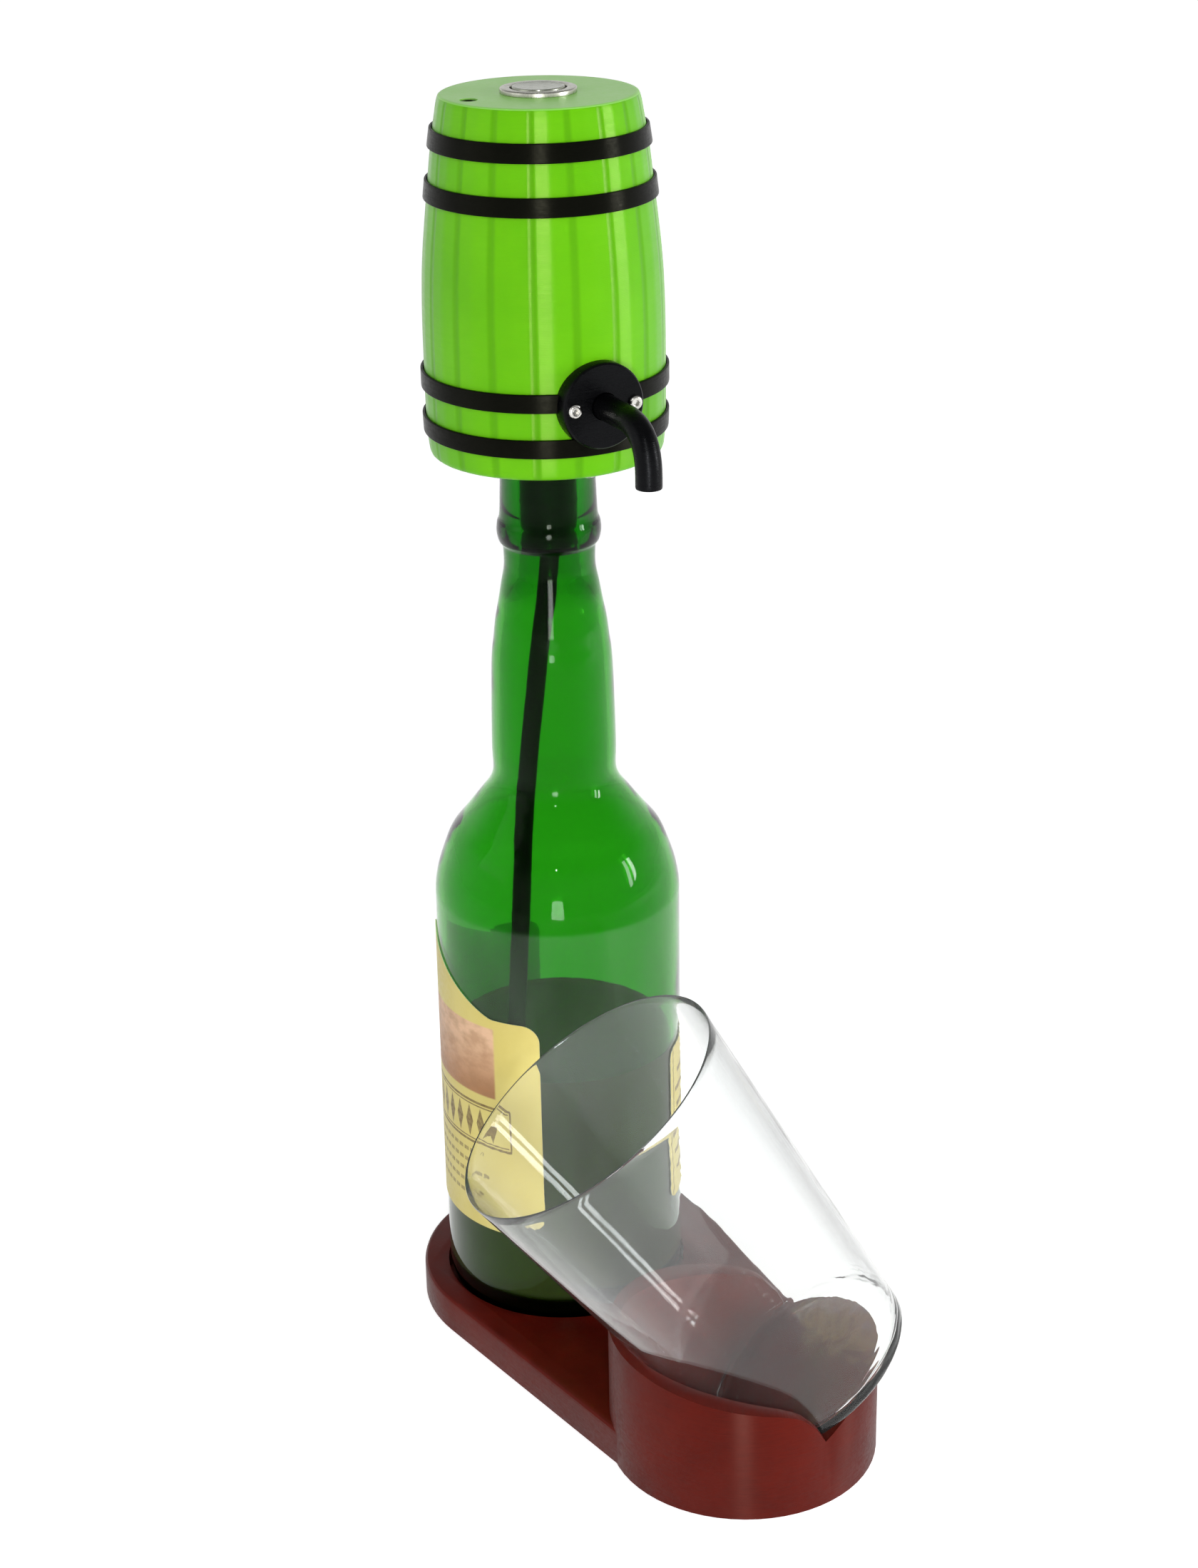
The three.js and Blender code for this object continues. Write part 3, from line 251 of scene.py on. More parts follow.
def printed_plastic(name, colour, deep, roughness, depth, sheen, round_gloss=0.0, tint=(1, 1, 1), wobble=0.0,
                    grit=1.6):
    """Plastic laid down in fine level layers, with a silky gloss."""
    look = Shader(name)
    layers = look.layers(0.28 * MM)
    cloud = look.noise(55, 4)
    grain = look.noise(900, 3)
    fibre = look.noise(16, 4, stretch=(12, 12, 160))
    both = look.math("ADD", look.times(cloud, 0.6), look.times(fibre, 0.4))
    base = look.mix(look.spread(both, 0.35, 0.68), deep, colour)
    rough = look.spread(look.math("ADD", grain, fibre), *MOST_OF_TWO, roughness - 0.07, roughness + 0.1)
    heights = [(layers, depth), (grain, depth * grit), (fibre, depth * 3)]
    if wobble:
        heights.append((look.noise(1, 2, stretch=LEVEL_STREAKS), wobble))
    made = look.principled(Base_Color=base, Roughness=rough, Normal=look.uneven(*heights), IOR=1.5,
                           Specular_IOR_Level=sheen, Specular_Tint=tint)
    if round_gloss:
        look.put(made.inputs["Anisotropic"], stretched(look, round_gloss))
        look.put(made.inputs["Tangent"], upright(look))
    return look.owner


def barrel_look():
    """Lime plastic, with painted shade in the grooves between the staves and a painted sheen on the top face and
    its rim.
    """
    look = Shader("lime_plastic")
    grain = look.noise(700, 3)
    cloud = look.noise(38, 3)
    fibre = look.noise(9, 3, stretch=(14, 14, 120))
    layers = look.layers(0.3 * MM)
    lit = look.mix(look.spread(cloud, 0.35, 0.7), linear(93, 177, 8), linear(103, 187, 12))
    lit = look.mix(look.spread(fibre, 0.35, 0.75, 0, 0.35), lit, linear(92, 178, 10))
    x, y, z = look.parts()
    angle = look.math("SUBTRACT", look.math("ARCTAN2", y, x), HEAD_TURN)
    turns = look.math("DIVIDE", angle, math.radians(STAVE_DEGREES))
    waver = look.times(look.math("SUBTRACT", fibre, 0.5), 0.03)
    off = look.gap(look.math("FRACT", look.math("ADD", turns, waver)), 0.5)
    # painted shade: the colour darkens in each groove between the staves
    groove = look.spread(off, 0.035, 0.155, 0.6, 0, kind="SMOOTHSTEP")
    lit = look.mix(groove, lit, linear(76, 152, 4))
    # painted sheen: the top face and its rim are made paler
    crown = look.spread(z, (HEAD_TOP - 0.45) * MM, (HEAD_TOP - 0.3) * MM)
    lit = look.mix(crown, lit, linear(152, 224, 106))
    rough = look.spread(look.math("ADD", grain, fibre), *MOST_OF_TWO, 0.30, 0.37)
    normal = look.uneven((layers, 0.012 * MM), (grain, 0.012 * MM), (fibre, 0.03 * MM),
                         (look.noise(1, 2, stretch=LEVEL_STREAKS), 0.03 * MM))
    look.principled(Base_Color=lit, Roughness=rough, Normal=normal, Specular_IOR_Level=0.28,
                    Specular_Tint=(1, 0.96, 0.4), Anisotropic=stretched(look, 0.97), Tangent=upright(look),
                    Subsurface_Weight=0.12, Subsurface_Radius=(0.3, 1.0, 0.1), Subsurface_Scale=0.004)
    return look.owner


def glass_look(name, colour, ripple, shade, dust_and_haze, dust_and_haze_heights, rough=(0.0, 0.03), gloss=1.0, bend=1.5,
               level=0.5, turn=None, deep=0.0, edge=1.0, dust_and_haze_between=(-1.0, 2.0)):
    """Clear or tinted glass.

    Ripple is the depth of its unevenness, shade the light that its shadow lets through, and turn the frame of a
    drawn wall. Deep is the tint's share inside the wall, and edge what the tint falls to where the wall turns away.
    The pale film, low and high up, is partly dust and partly a painted reflection haze; its share, where it grows
    and the heights it keeps to are given last.
    """
    look = Shader(name)
    wave = look.noise(24, 2)
    fine = look.noise(120, 3)
    smear = look.noise(60, 4, stretch=(1, 1, 0.3))
    heights = [(wave, ripple), (fine, ripple * 0.05)]
    if turn:
        heights += [(drawn_lines(look, turn), 0.03 * MM), (foot_ripples(look, turn), 0.12 * MM)]
    roughness = look.spread(smear, 0.45, 0.75, *rough)
    tint = [one ** (1 - deep) for one in colour]
    # painted shade: the tint darkens where the wall turns away, so the glass's edges look darker
    if edge < 1:
        turned_away = look.spread(look.add("ShaderNodeLayerWeight").outputs["Facing"], 0.45, 0.9)
        tint = look.mix(turned_away, tint, [one * edge for one in tint])
    glass = look.principled(Base_Color=tint, Roughness=roughness, Normal=look.uneven(*heights), IOR=bend,
                            Transmission_Weight=1.0, Specular_IOR_Level=level, Specular_Tint=(gloss, gloss, gloss))
    # painted reflection haze, partly dust: a pale diffuse film mixed over the glass
    film = look.add("ShaderNodeBsdfDiffuse", {"Color": DUST_AND_HAZE_COLOUR})
    z = look.parts()[2]
    low, high = dust_and_haze_between
    share = look.spread(z, *dust_and_haze_heights, *dust_and_haze)
    share = look.times(share, look.spread(z, low, low + 0.001))
    share = look.times(share, look.spread(z, high - 0.0015, high, 1, 0))
    share = look.times(share, look.spread(smear, 0.3, 0.75, 0.6, 1.4))
    dust_and_haze_mix = look.blended(share, glass.outputs[0], film.outputs[0])
    through = look.add("ShaderNodeBsdfTransparent")
    shadow = look.add("ShaderNodeLightPath").outputs["Is Shadow Ray"]
    look.surface(look.blended(look.times(shadow, shade), dust_and_haze_mix, through.outputs[0]))
    if deep:
        taken = [-math.log(one) * deep / (WALL * MM) for one in colour]
        most = max(taken)
        inputs = {"Color": [1 - one / most for one in taken], "Density": most}
        look.put(look.output.inputs["Volume"], look.add("ShaderNodeVolumeAbsorption", inputs).outputs[0])
    return look.owner


def drawn_lines(look, turn):
    """Faint waves that run the length of a drawn glass wall."""
    place, parts = look.along_axes(look.place, turn, scales=(230, 230, 5))
    return look.noise(1, 2, vector=place)


def foot_ripples(look, turn):
    """Wavy marks that moulding leaves in the wall just above the tumbler's foot."""
    place, parts = look.along_axes(look.vector("SUBTRACT", look.place, FOOT_PLACE * MM)[0], turn)
    waves = look.bands(place, 120, 9, 1, 0.5)
    near = look.spread(parts[2], 3 * MM, 14 * MM, 1, 0, kind="SMOOTHSTEP")
    return look.times(waves, near)


def cider_look():
    """Cloudy cider, with painted shade at the bottle's foot."""
    look = Shader("cider")
    cloud = look.noise(35, 4)
    base = look.mix(look.spread(cloud, *MOST), linear(150, 88, 62), linear(170, 100, 72))
    # painted shade: the cider turns near black at the bottle's foot, inside the stand's pocket
    low = look.spread(look.parts()[2], 16.5 * MM, 19.5 * MM, 1, 0, kind="SMOOTHSTEP")
    base = look.mix(low, base, linear(4, 6, 3))
    look.principled(Base_Color=base, Roughness=look.spread(cloud, *MOST, 0.02, 0.06), IOR=1.33,
                    Transmission_Weight=0.4, Normal=look.bump(cloud, 0.05 * MM), Specular_IOR_Level=0.35)
    return look.owner


def rubber_look(name, colour, roughness=0.55, gloss=0.12):
    """Matt rubber or plain moulded plastic."""
    look = Shader(name)
    grain = look.noise(1400, 3)
    cloud = look.noise(90, 3)
    base = look.mix(look.spread(cloud, *MOST), colour, tuple(value * 1.6 for value in colour))
    look.principled(Base_Color=base, Roughness=look.spread(cloud, *MOST, roughness - 0.1, roughness + 0.1),
                    Normal=look.bump(grain, 0.02 * MM), Specular_IOR_Level=gloss)
    return look.owner


def steel_look(name, colour, roughness, brushed=(1, 1, 1), depth=0.004 * MM):
    """Steel, with brush marks that are finer along each axis as brushed says."""
    look = Shader(name)
    brush = look.noise(500, 4, stretch=brushed)
    cloud = look.noise(160, 3)
    base = look.mix(look.spread(cloud, *MOST), colour, tuple(value * 0.82 for value in colour))
    look.principled(Base_Color=base, Metallic=1.0, Normal=look.bump(brush, depth),
                    Roughness=look.spread(brush, *MOST, roughness - 0.07, roughness + 0.09))
    return look.owner


def paper_look(name, heading, ornament, wash=None):
    """Pale yellow label paper with brown print, and plain white on the side that faces the glass, which glows
    faintly as painted light.
    """
    look = Shader(name)
    x, y, z = look.parts()
    turn = math.radians(heading)
    along = look.math("ADD", look.times(x, math.cos(turn)), look.times(y, math.sin(turn)))
    aside = look.math("SUBTRACT", look.times(y, math.cos(turn)), look.times(x, math.sin(turn)))
    angle = look.math("ARCTAN2", aside, along)  # from the label's middle
    across = look.math("ABSOLUTE", angle)
    speck = look.noise(700, 3)
    cloud = look.noise(45, 4)
    paper = look.mix(look.spread(cloud, 0.35, 0.65), linear(214, 200, 120), linear(204, 188, 104))
    ink = look.spread(speck, 0.3, 0.75, 0.7, 1.0)
    marks = ornament(look, angle, across, z)
    if wash:
        field, tone = wash(look, across, z)
        paper = look.mix(look.times(field, 0.85), paper, tone)
    brown = look.mix(speck, linear(116, 92, 44), linear(92, 66, 34))
    base = look.mix(look.times(marks, ink), paper, brown)
    reach = look.math("SQRT", look.math("ADD", look.times(x, x), look.times(y, y)))
    inner = look.spread(reach, (LABEL_INNER + 0.08) * MM, (LABEL_OUTER - 0.08) * MM, 1, 0)
    base = look.mix(inner, base, look.mix(speck, linear(236, 240, 228), linear(222, 230, 214)))
    fibre = look.noise(420, 5)
    # painted light: the inner face glows faintly by emission
    made = look.principled(Base_Color=base, Roughness=look.spread(speck, *MOST, 0.36, 0.52),
                           Normal=look.bump(fibre, 0.03 * MM), Specular_IOR_Level=0.4,
                           Emission_Color=(1.0, 1.0, 0.96), Emission_Strength=look.times(inner, 0.2))
    seep = look.add("ShaderNodeBsdfTranslucent", {"Color": linear(250, 251, 246)})  # daylight through the paper
    look.surface(look.blended(look.times(inner, 0.4), made.outputs[0], seep.outputs[0]))
    return look.owner


def band(look, value, middle, half, soft):
    """1 within half of middle, 0 outside, with soft edges."""
    return look.spread(look.gap(value, middle), half, half + soft, 1, 0)


def level_line(look, across, z, height, half, soft, limit, fade=0.004):
    """A level line of twice half's thickness, from the label's middle out to the angle limit on both sides."""
    return look.times(band(look, z, height * MM, half * MM, soft * MM),
                      look.spread(across, limit, limit + fade, 1, 0))


def all_of(look, marks):
    """The marks laid over each other."""
    whole = marks[0]
    for mark in marks[1:]:
        whole = look.math("MAXIMUM", whole, mark)
    return whole


FRAME_MIDDLE, FRAME_HALF, FRAME_END = 80.35, 7.65, 1.13  # of the front label's frame; its end is an angle


def front_marks(look, angle, across, z):
    """Generic print: a frame of double rules, a row of plain lozenges and a few short level strokes."""
    reach = look.times(angle, LABEL_OUTER * MM)
    rules = ((88, 0.4, FRAME_END), (86.8, 0.2, 1.11), (72.7, 0.4, FRAME_END), (73.9, 0.2, 1.11))
    marks = [level_line(look, across, z, height, half, 0.1, limit) for height, half, limit in rules]
    marks.append(look.times(band(look, across, FRAME_END, 0.006, 0.003),
                            band(look, z, FRAME_MIDDLE * MM, FRAME_HALF * MM, 0.2 * MM)))
    pitch = 5.2 * MM
    wave = look.gap(look.math("FRACT", look.math("DIVIDE", reach, pitch)), 0.5)
    rise = look.math("DIVIDE", look.gap(z, FRAME_MIDDLE * MM), pitch)
    lozenge = look.spread(look.math("ADD", wave, look.times(rise, 0.3)), 0.33, 0.35, 1, 0)
    marks.append(look.times(lozenge, look.spread(across, 1.04, 1.045, 1, 0)))
    stroke = look.math("FRACT", look.math("DIVIDE", reach, 3.1 * MM))
    dashes = look.spread(look.gap(stroke, 0.5), 0.36, 0.40, 1, 0)
    pale = look.times(dashes, 0.75)
    for row, limit in enumerate((0.86, 0.78, 0.9, 0.7, 0.82)):
        line = level_line(look, across, z, 68.8 - 4.2 * row, 0.6, 0.2, limit)
        marks.append(look.times(line, pale))
    return all_of(look, marks)


def front_wash(look, across, z):
    """A bare rosy brown field where a label has its picture, paler towards its top."""
    field = level_line(look, across, z, 104.5, 12.5, 0.6, 0.99, fade=0.02)
    cloud = look.noise(150, 4, stretch=(1, 1, 1.6))
    tone = look.mix(look.spread(z, 94 * MM, 113 * MM), linear(158, 96, 66), linear(222, 178, 150))
    tone = look.mix(look.spread(cloud, 0.4, 0.62, 0, 0.5), tone, linear(140, 84, 60))
    return field, tone


def back_marks(look, angle, across, z):
    """Seven plain rules of uneven length between two upright ones."""
    lines = [level_line(look, across, z, 52 + 6.2 * row, 0.8, 0.2, 0.30 + 0.03 * (row % 3), fade=0.01)
             for row in range(7)]
    return all_of(look, [*lines, band(look, across, 0.405, 0.006, 0.003)])


lime = barrel_look()
maroon = printed_plastic("maroon_plastic", linear(96, 21, 12), linear(78, 14, 8), 0.35, depth=0.01 * MM,
                         sheen=0.2, round_gloss=0.99, tint=(1, 0.55, 0.45), wobble=0.02 * MM, grit=0.3)
black = printed_plastic("black_plastic", linear(5, 6, 4), linear(1, 2, 1), 0.36, depth=0.008 * MM, sheen=0.07,
                        round_gloss=0.98, tint=(1, 0.98, 0.7))
spout_black = printed_plastic("spout_plastic", linear(5, 5, 6), linear(2, 2, 3), 0.3, depth=0.012 * MM, sheen=0.09,
                              tint=(0.92, 0.95, 1), wobble=0.08 * MM)
green_glass = glass_look("green_glass", linear(90, 186, 64), 0.5 * MM, shade=0.95, gloss=0.12, deep=0.35,
                         dust_and_haze=(0.009, 0.03), dust_and_haze_heights=(85 * MM, 106 * MM),
                         dust_and_haze_between=(18.5 * MM, 153.5 * MM))
TUMBLER_TURN = Matrix.Rotation(LEAN_HEADING, 4, "Z") @ Matrix.Rotation(LEAN, 4, "Y")
clear_glass = glass_look("clear_glass", (0.965, 0.975, 0.973), 0.15 * MM, shade=0.68, rough=(0.0, 0.012),
                         bend=1.36, level=0.8, edge=0.5, turn=TUMBLER_TURN.to_3x3(), dust_and_haze=(0.008, 0.02),
                         dust_and_haze_heights=(50 * MM, 110 * MM))
cider = cider_look()
rubber = rubber_look("black_rubber", linear(9, 9, 9))
tube_rubber = rubber_look("tube_rubber", linear(4, 5, 5), 0.35, gloss=0.04)
satin_steel = steel_look("satin_steel", linear(190, 190, 178), 0.3, brushed=(1, 6, 1))
bright_steel = steel_look("bright_steel", linear(208, 206, 200), 0.2)
cap_steel = steel_look("cap_steel", linear(157, 161, 147), 0.26, brushed=(6, 1, 1), depth=0.002 * MM)

# ---------------------------------------------------------------- mesh helpers

SAME_PLACE = 1e-7  # metres; corners closer than this are one


def plain_mesh(name, verts, faces, turn=None):
    """A mesh from points in millimetres, turned into its place."""
    mesh = bpy.data.meshes.new(name)
    mesh.from_pydata([Vector(v) * MM for v in verts], [], faces)
    if turn is not None:
        mesh.transform(turn)
    return mesh


def mended(mesh, join=0.0):
    """The mesh with its faces turned outwards, and close corners joined."""
    work = bmesh.new()
    work.from_mesh(mesh)
    if join:
        bmesh.ops.remove_doubles(work, verts=work.verts, dist=join)
    bmesh.ops.recalc_face_normals(work, faces=work.faces)
    work.to_mesh(mesh)
    work.free()
    return mesh


def piece(name, verts, faces, look, body, slot, nodes=(), crease=38, turn=None):
    """A scene piece from points in millimetres, that rides on the body and stands for the nodes."""
    return finished(name, plain_mesh(name, verts, faces, turn), look, body, nodes, crease)


def finished(name, mesh, look, body, nodes=(), crease=38):
    mended(mesh, join=SAME_PLACE)
    mesh.shade_smooth()
    mesh.set_sharp_from_angle(angle=math.radians(crease))
    mesh.materials.clear()
    mesh.materials.append(look)
    made = shown(name, mesh)
    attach(made, body)
    if nodes:
        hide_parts(*nodes)
    return made


def polar(reach, angle, height):
    """The point that far from the upright axis, at that angle and height."""
    return reach * math.cos(angle), reach * math.sin(angle), height


def moved(x, y, z):
    return Matrix.Translation(Vector((x, y, z)) * MM)


def rings_of(rows, count, start=0):
    """Rings of count corners each, numbered on from start."""
    return [list(range(start + row * count, start + (row + 1) * count)) for row in range(rows)]


def bridged(rings, closed=False):
    """Faces from each ring to the next, and from the last to the first if closed. A ring may be one corner."""
    faces = []
    for low, high in zip(rings, rings[1:] + rings[:1] if closed else rings[1:]):
        sides = max(len(low), len(high))
        for side in range(sides):
            after = (side + 1) % sides
            corners = dict.fromkeys((low[side % len(low)], low[after % len(low)], high[after % len(high)],
                                     high[side % len(high)]))
            if len(corners) > 2:
                faces.append(list(corners))
    return faces


def turned(outline, sides, closed=False):
    """A revolved outline of (reach, height) points. Points on the axis become one vertex."""
    verts, rings = [], []
    for reach, height in outline:
        count = sides if reach >= 1e-6 else 1
        rings += rings_of(1, count, start=len(verts))
        verts += [polar(reach, 2 * math.pi * side / sides, height) for side in range(count)]
    return verts, bridged(rings, closed)


def flowing(points, steps):
    """A smooth line through the points, with steps places in each span."""
    line = []
    for at in range(len(points) - 1):
        before = points[max(at - 1, 0)]
        first, second = points[at], points[at + 1]
        later = points[min(at + 2, len(points) - 1)]
        for step in range(steps):
            t = step / steps
            line.append(tuple(catmull(before[k], first[k], second[k], later[k], t) for k in range(len(first))))
    line.append(tuple(points[-1]))
    return line


def catmull(a, b, c, d, t):
    return 0.5 * (2 * b + (c - a) * t + (2 * a - 5 * b + 4 * c - d) * t * t + (3 * b - a - 3 * c + d) * t ** 3)


def bend(start, corner, end, steps):
    """Places along the curve from start to end that keeps to the corner's sides."""
    return [(1 - t) ** 2 * start + 2 * t * (1 - t) * corner + t * t * end
            for t in (step / steps for step in range(steps + 1))]


def rounded(outline, radii, steps):
    """The closed outline with each corner rounded by its radius."""
    line = []
    for at, radius in enumerate(radii):
        here = Vector(outline[at])
        if not radius:
            line.append(tuple(here))
            continue
        back = Vector(outline[at - 1]) - here
        on = Vector(outline[(at + 1) % len(outline)]) - here
        away = min(radius / math.tan(back.angle(on) / 2), back.length * 0.49, on.length * 0.49)
        start, end = here + back.normalized() * away, here + on.normalized() * away
        line += [tuple(place) for place in bend(start, here, end, steps)]
    return line


def swept(path, radius, sides):
    """A closed tube of that radius, or one radius for each place, along the path's points."""
    last = len(path) - 1
    tangents = [(path[min(at + 1, last)] - path[max(at - 1, 0)]).normalized() for at in range(last + 1)]
    side_way = tangents[0].orthogonal().normalized()
    verts = []
    for at, (place, along) in enumerate(zip(path, tangents)):
        side_way = (side_way - along * side_way.dot(along)).normalized()
        other = along.cross(side_way)
        reach = radius[at] if hasattr(radius, "__len__") else radius
        for side in range(sides):
            angle = 2 * math.pi * side / sides
            verts.append(place + reach * (math.cos(angle) * side_way + math.sin(angle) * other))
    rings = rings_of(last + 1, sides)
    return verts, bridged(rings) + [rings[0], rings[-1][::-1]]


def cut_mesh(mesh, cutters):
    """The mesh with the cutter meshes taken away."""
    made = shown("whole", mesh)
    tools = [shown("tool", cutter) for cutter in cutters]
    for tool in tools:
        change = made.modifiers.new("cut", "BOOLEAN")
        change.operation, change.solver, change.object = "DIFFERENCE", "EXACT", tool
    return changed(made, tools)


def changed(made, tools=()):
    """The mesh that the object's modifiers make of it. The object and its tools go."""
    bpy.context.view_layer.update()
    result = bpy.data.meshes.new_from_object(made.evaluated_get(bpy.context.evaluated_depsgraph_get()))
    for one in [made, *tools]:
        bpy.data.objects.remove(one)
    return result


HEAD = Matrix.Rotation(HEAD_TURN, 4, "Z")
SIDEWAYS = Matrix.Rotation(math.pi / 2, 4, "Y")

# ---------------------------------------------------------------- dip tube

ROUTE = [(0, 269.6), (0, 267), (0.4, 262), (1, 256), (2.3, 246), (4.1, 233), (5.6, 220), (7.2, 207), (8.6, 194),
         (9.9, 180), (11, 164), (12, 146), (13.2, 127), (14.4, 107), (15.6, 86), (16.8, 64), (17.9, 42),
         (18.6, 26), (18.9, 17.5)]
TUBE_HEADING = math.radians(-120.6)
TUBE_DIAMETER = 6


def dip_tube():
    """The tube from the stopper down into the cider. Its route repeats the part's source."""
    points = [Vector(polar(reach, TUBE_HEADING, height)) * MM for reach, height in flowing(ROUTE, 2)]
    made = piece("dip_tube_cord", *swept([point / MM for point in points], TUBE_DIAMETER / 2, 24), tube_rubber,
                 "head", "black_plastic", ["dip_tube"])


dip_tube()

# ---------------------------------------------------------------- bottle, cider and labels

POCKET_FLOOR, BOTTLE_HEIGHT, BOTTLE_RADIUS, BORE = 3.5, 295.1, 39.9, 9.3
BOTTLE_SHARES = [
    (0.004, 0.878), (0.013, 0.945), (0.029, 0.985), (0.05, 1), (0.12, 1), (0.25, 1), (0.38, 1), (0.48, 1),
    (0.508, 1), (0.53, 0.975), (0.551, 0.927), (0.574, 0.857), (0.593, 0.747), (0.614, 0.629), (0.627, 0.555),
    (0.637, 0.515), (0.65, 0.495), (0.677, 0.5), (0.737, 0.491), (0.778, 0.479), (0.8, 0.459), (0.82, 0.441),
    (0.84, 0.412), (0.859, 0.388), (0.879, 0.361), (0.897, 0.362), (0.904, 0.37), (0.908, 0.395), (0.918, 0.41),
    (0.928, 0.403), (0.936, 0.385), (0.96, 0.376), (0.99, 0.367), (0.998, 0.358), (1, 0.345)]
BOTTLE_SIDES = 144
HEEL = [(BOTTLE_RADIUS - WALL - 1.7, 11.5), (BOTTLE_RADIUS - WALL - 7, 8.4)]  # inside, at the foot
FLOOR_INSIDE = [(24, 8.2), (16, 9.4), (8, 11.8), (0, 12.7)]


def scaled_line(shares, radius, bottom, length):
    """The (reach, height) line through (rise, reach) shares of a length and a radius."""
    points = [(reach * radius, bottom + rise * length) for rise, reach in shares]
    return [(min(reach, radius), height) for reach, height in flowing(points, 4)]


def reach_at(line, height):
    """How far out the line is at that height."""
    for (r0, h0), (r1, h1) in zip(line, line[1:]):
        if h0 <= height <= h1 and h1 > h0:
            return r0 + (r1 - r0) * (height - h0) / (h1 - h0)
    return line[-1][0]


def bottle():
    outside = scaled_line(BOTTLE_SHARES, BOTTLE_RADIUS, POCKET_FLOOR, BOTTLE_HEIGHT)
    neck = [(BORE * 1.06, 298.0), (BORE * 1.01, 296.0), (BORE, 294.0), (BORE, 280.0), (BORE, 266.5)]
    joins = [(BORE * 1.04, 262.6), (BORE * 1.1, 259.0)]
    body = [(max(reach_at(outside, height) - WALL, BORE * 1.1), height)
            for height in (252, 246, 240, 232, 222, 212, 204, 198, 194, 190, 187, 184, 180, 176, 172, 168, 164, 160,
                           156, 152, 145, 130, 110, 90, 60, 30, 18)]
    inside = flowing(neck + joins + body + HEEL + FLOOR_INSIDE, 3)
    punt = flowing([(0, 8.0), (8, 7.6), (16, 6.2), (22, 4.2), (25, 3.7), (28, 3.55), (31, 3.6)], 3)
    lip = [(outside[-1][0] - 0.8, POCKET_FLOOR + BOTTLE_HEIGHT), (BORE * 1.1, 298.5)]
    piece("bottle_glass", *turned(punt + outside + lip + inside, BOTTLE_SIDES), green_glass, "bottle",
          "green_glass", ["bottle"])


bottle()


def cider_piece():
    """The cider, a hair into the glass all round, so that no air shows between them. It climbs a little at its
    edge."""
    level = 98.4
    over = 0.12
    side = BOTTLE_RADIUS - WALL + over
    floor = [(reach, height - over) for reach, height in reversed(FLOOR_INSIDE)]
    (heel_high, high), (heel_low, low) = HEEL
    wetted = floor + [(heel_low + over * 0.5, low - over), (heel_high + over, high), (side, 18), (side, 60)]
    surface = [(side, level + 1.2), (side - 0.5, level + 0.5), (side - 1.4, level + 0.1), (side - 3, level),
               (side / 2, level), (0, level)]
    piece("cider", *turned(flowing(wetted, 3) + surface, BOTTLE_SIDES), cider, "bottle", "green_glass")


cider_piece()


def corner_drop(share, half_width, corner):
    """How far a rounded corner takes the label's edge in, at that share of its half width."""
    into = abs(share) * half_width - (half_width - corner)
    return 0 if into <= 0 else corner - math.sqrt(max(corner * corner - into * into, 0))


def label(name, node, heading, half, corner, edges, look):
    """A bent sheet of paper round the bottle. Half is half its angle, and edges gives its lower and upper edge."""
    columns, rows = 120, 24
    shares = [math.sin(math.pi / 2 * (2 * at / columns - 1)) for at in range(columns + 1)]
    verts = []
    for reach in (LABEL_INNER, LABEL_OUTER):
        for share in shares:
            low, high = edges(share, corner_drop(share, math.radians(half) * LABEL_INNER, corner))
            angle = math.radians(heading + share * half)
            verts += [polar(reach, angle, low + (high - low) * row / rows) for row in range(rows + 1)]
    count = (columns + 1) * (rows + 1)
    faces = []
    for column in range(columns):
        for row in range(rows):
            a = column * (rows + 1) + row
            b = a + rows + 1
            faces.append([a, b, b + 1, a + 1])
            faces.append([count + a, count + a + 1, count + b + 1, count + b])
    edge = [column * (rows + 1) for column in range(columns + 1)]
    edge += [columns * (rows + 1) + row for row in range(1, rows + 1)]
    edge += [column * (rows + 1) + rows for column in range(columns - 1, -1, -1)]
    edge += [row for row in range(rows - 1, 0, -1)]
    for a, b in zip(edge, edge[1:] + edge[:1]):
        faces.append([a, b, count + b, count + a])
    piece(name, verts, faces, look, "bottle", "label_paper", [node])


def front_edges(share, drop):
    """The front label's edges: its top is a pointed crown with hollow sides."""
    in_crown = max(1 - abs(share) / 0.7, 0)
    return 41.7 + drop, 120.6 + 20.4 * in_crown ** 1.15 - drop


def back_edges(share, drop):
    return 42.4 + drop, 99.5 - drop


label("front_paper", "label_front", FRONT_HEADING, 80, 6, front_edges,
      paper_look("front_paper", FRONT_HEADING, front_marks, wash=front_wash))
label("back_paper", "label_back", BACK_HEADING, 26.4, 4, back_edges,
      paper_look("back_paper", BACK_HEADING, back_marks))

# ---------------------------------------------------------------- stopper


def stopper():
    """The rubber sleeve, with three soft ribs and a flange that rests on the lip."""
    low, top = 271.4, 299.9
    bore, plug, rib, flange = 6.9, 8.8, 9.0, 13
    outline = [(bore, low), (plug - 0.5, low), (plug, low + 0.6)]
    for share in (0.15, 0.5, 0.85):
        middle = low + share * (top - 1 - low)
        outline += [(plug, middle - 1.2), (rib, middle - 0.4), (rib, middle + 0.4), (plug, middle + 1.2)]
    outline += [(plug, top - 1), (flange - 0.3, top - 1), (flange, top - 0.8), (flange, top - 0.2),
                (flange - 0.2, top), (bore, top)]
    piece("stopper_rubber", *turned(outline, 96, closed=True), rubber, "sleeve", "black_rubber",
          ["stopper_sleeve"])


stopper()

# ---------------------------------------------------------------- tumbler

TUMBLER_LENGTH, FOOT_RADIUS, RIM_RADIUS = 122, 34.7, 45.4


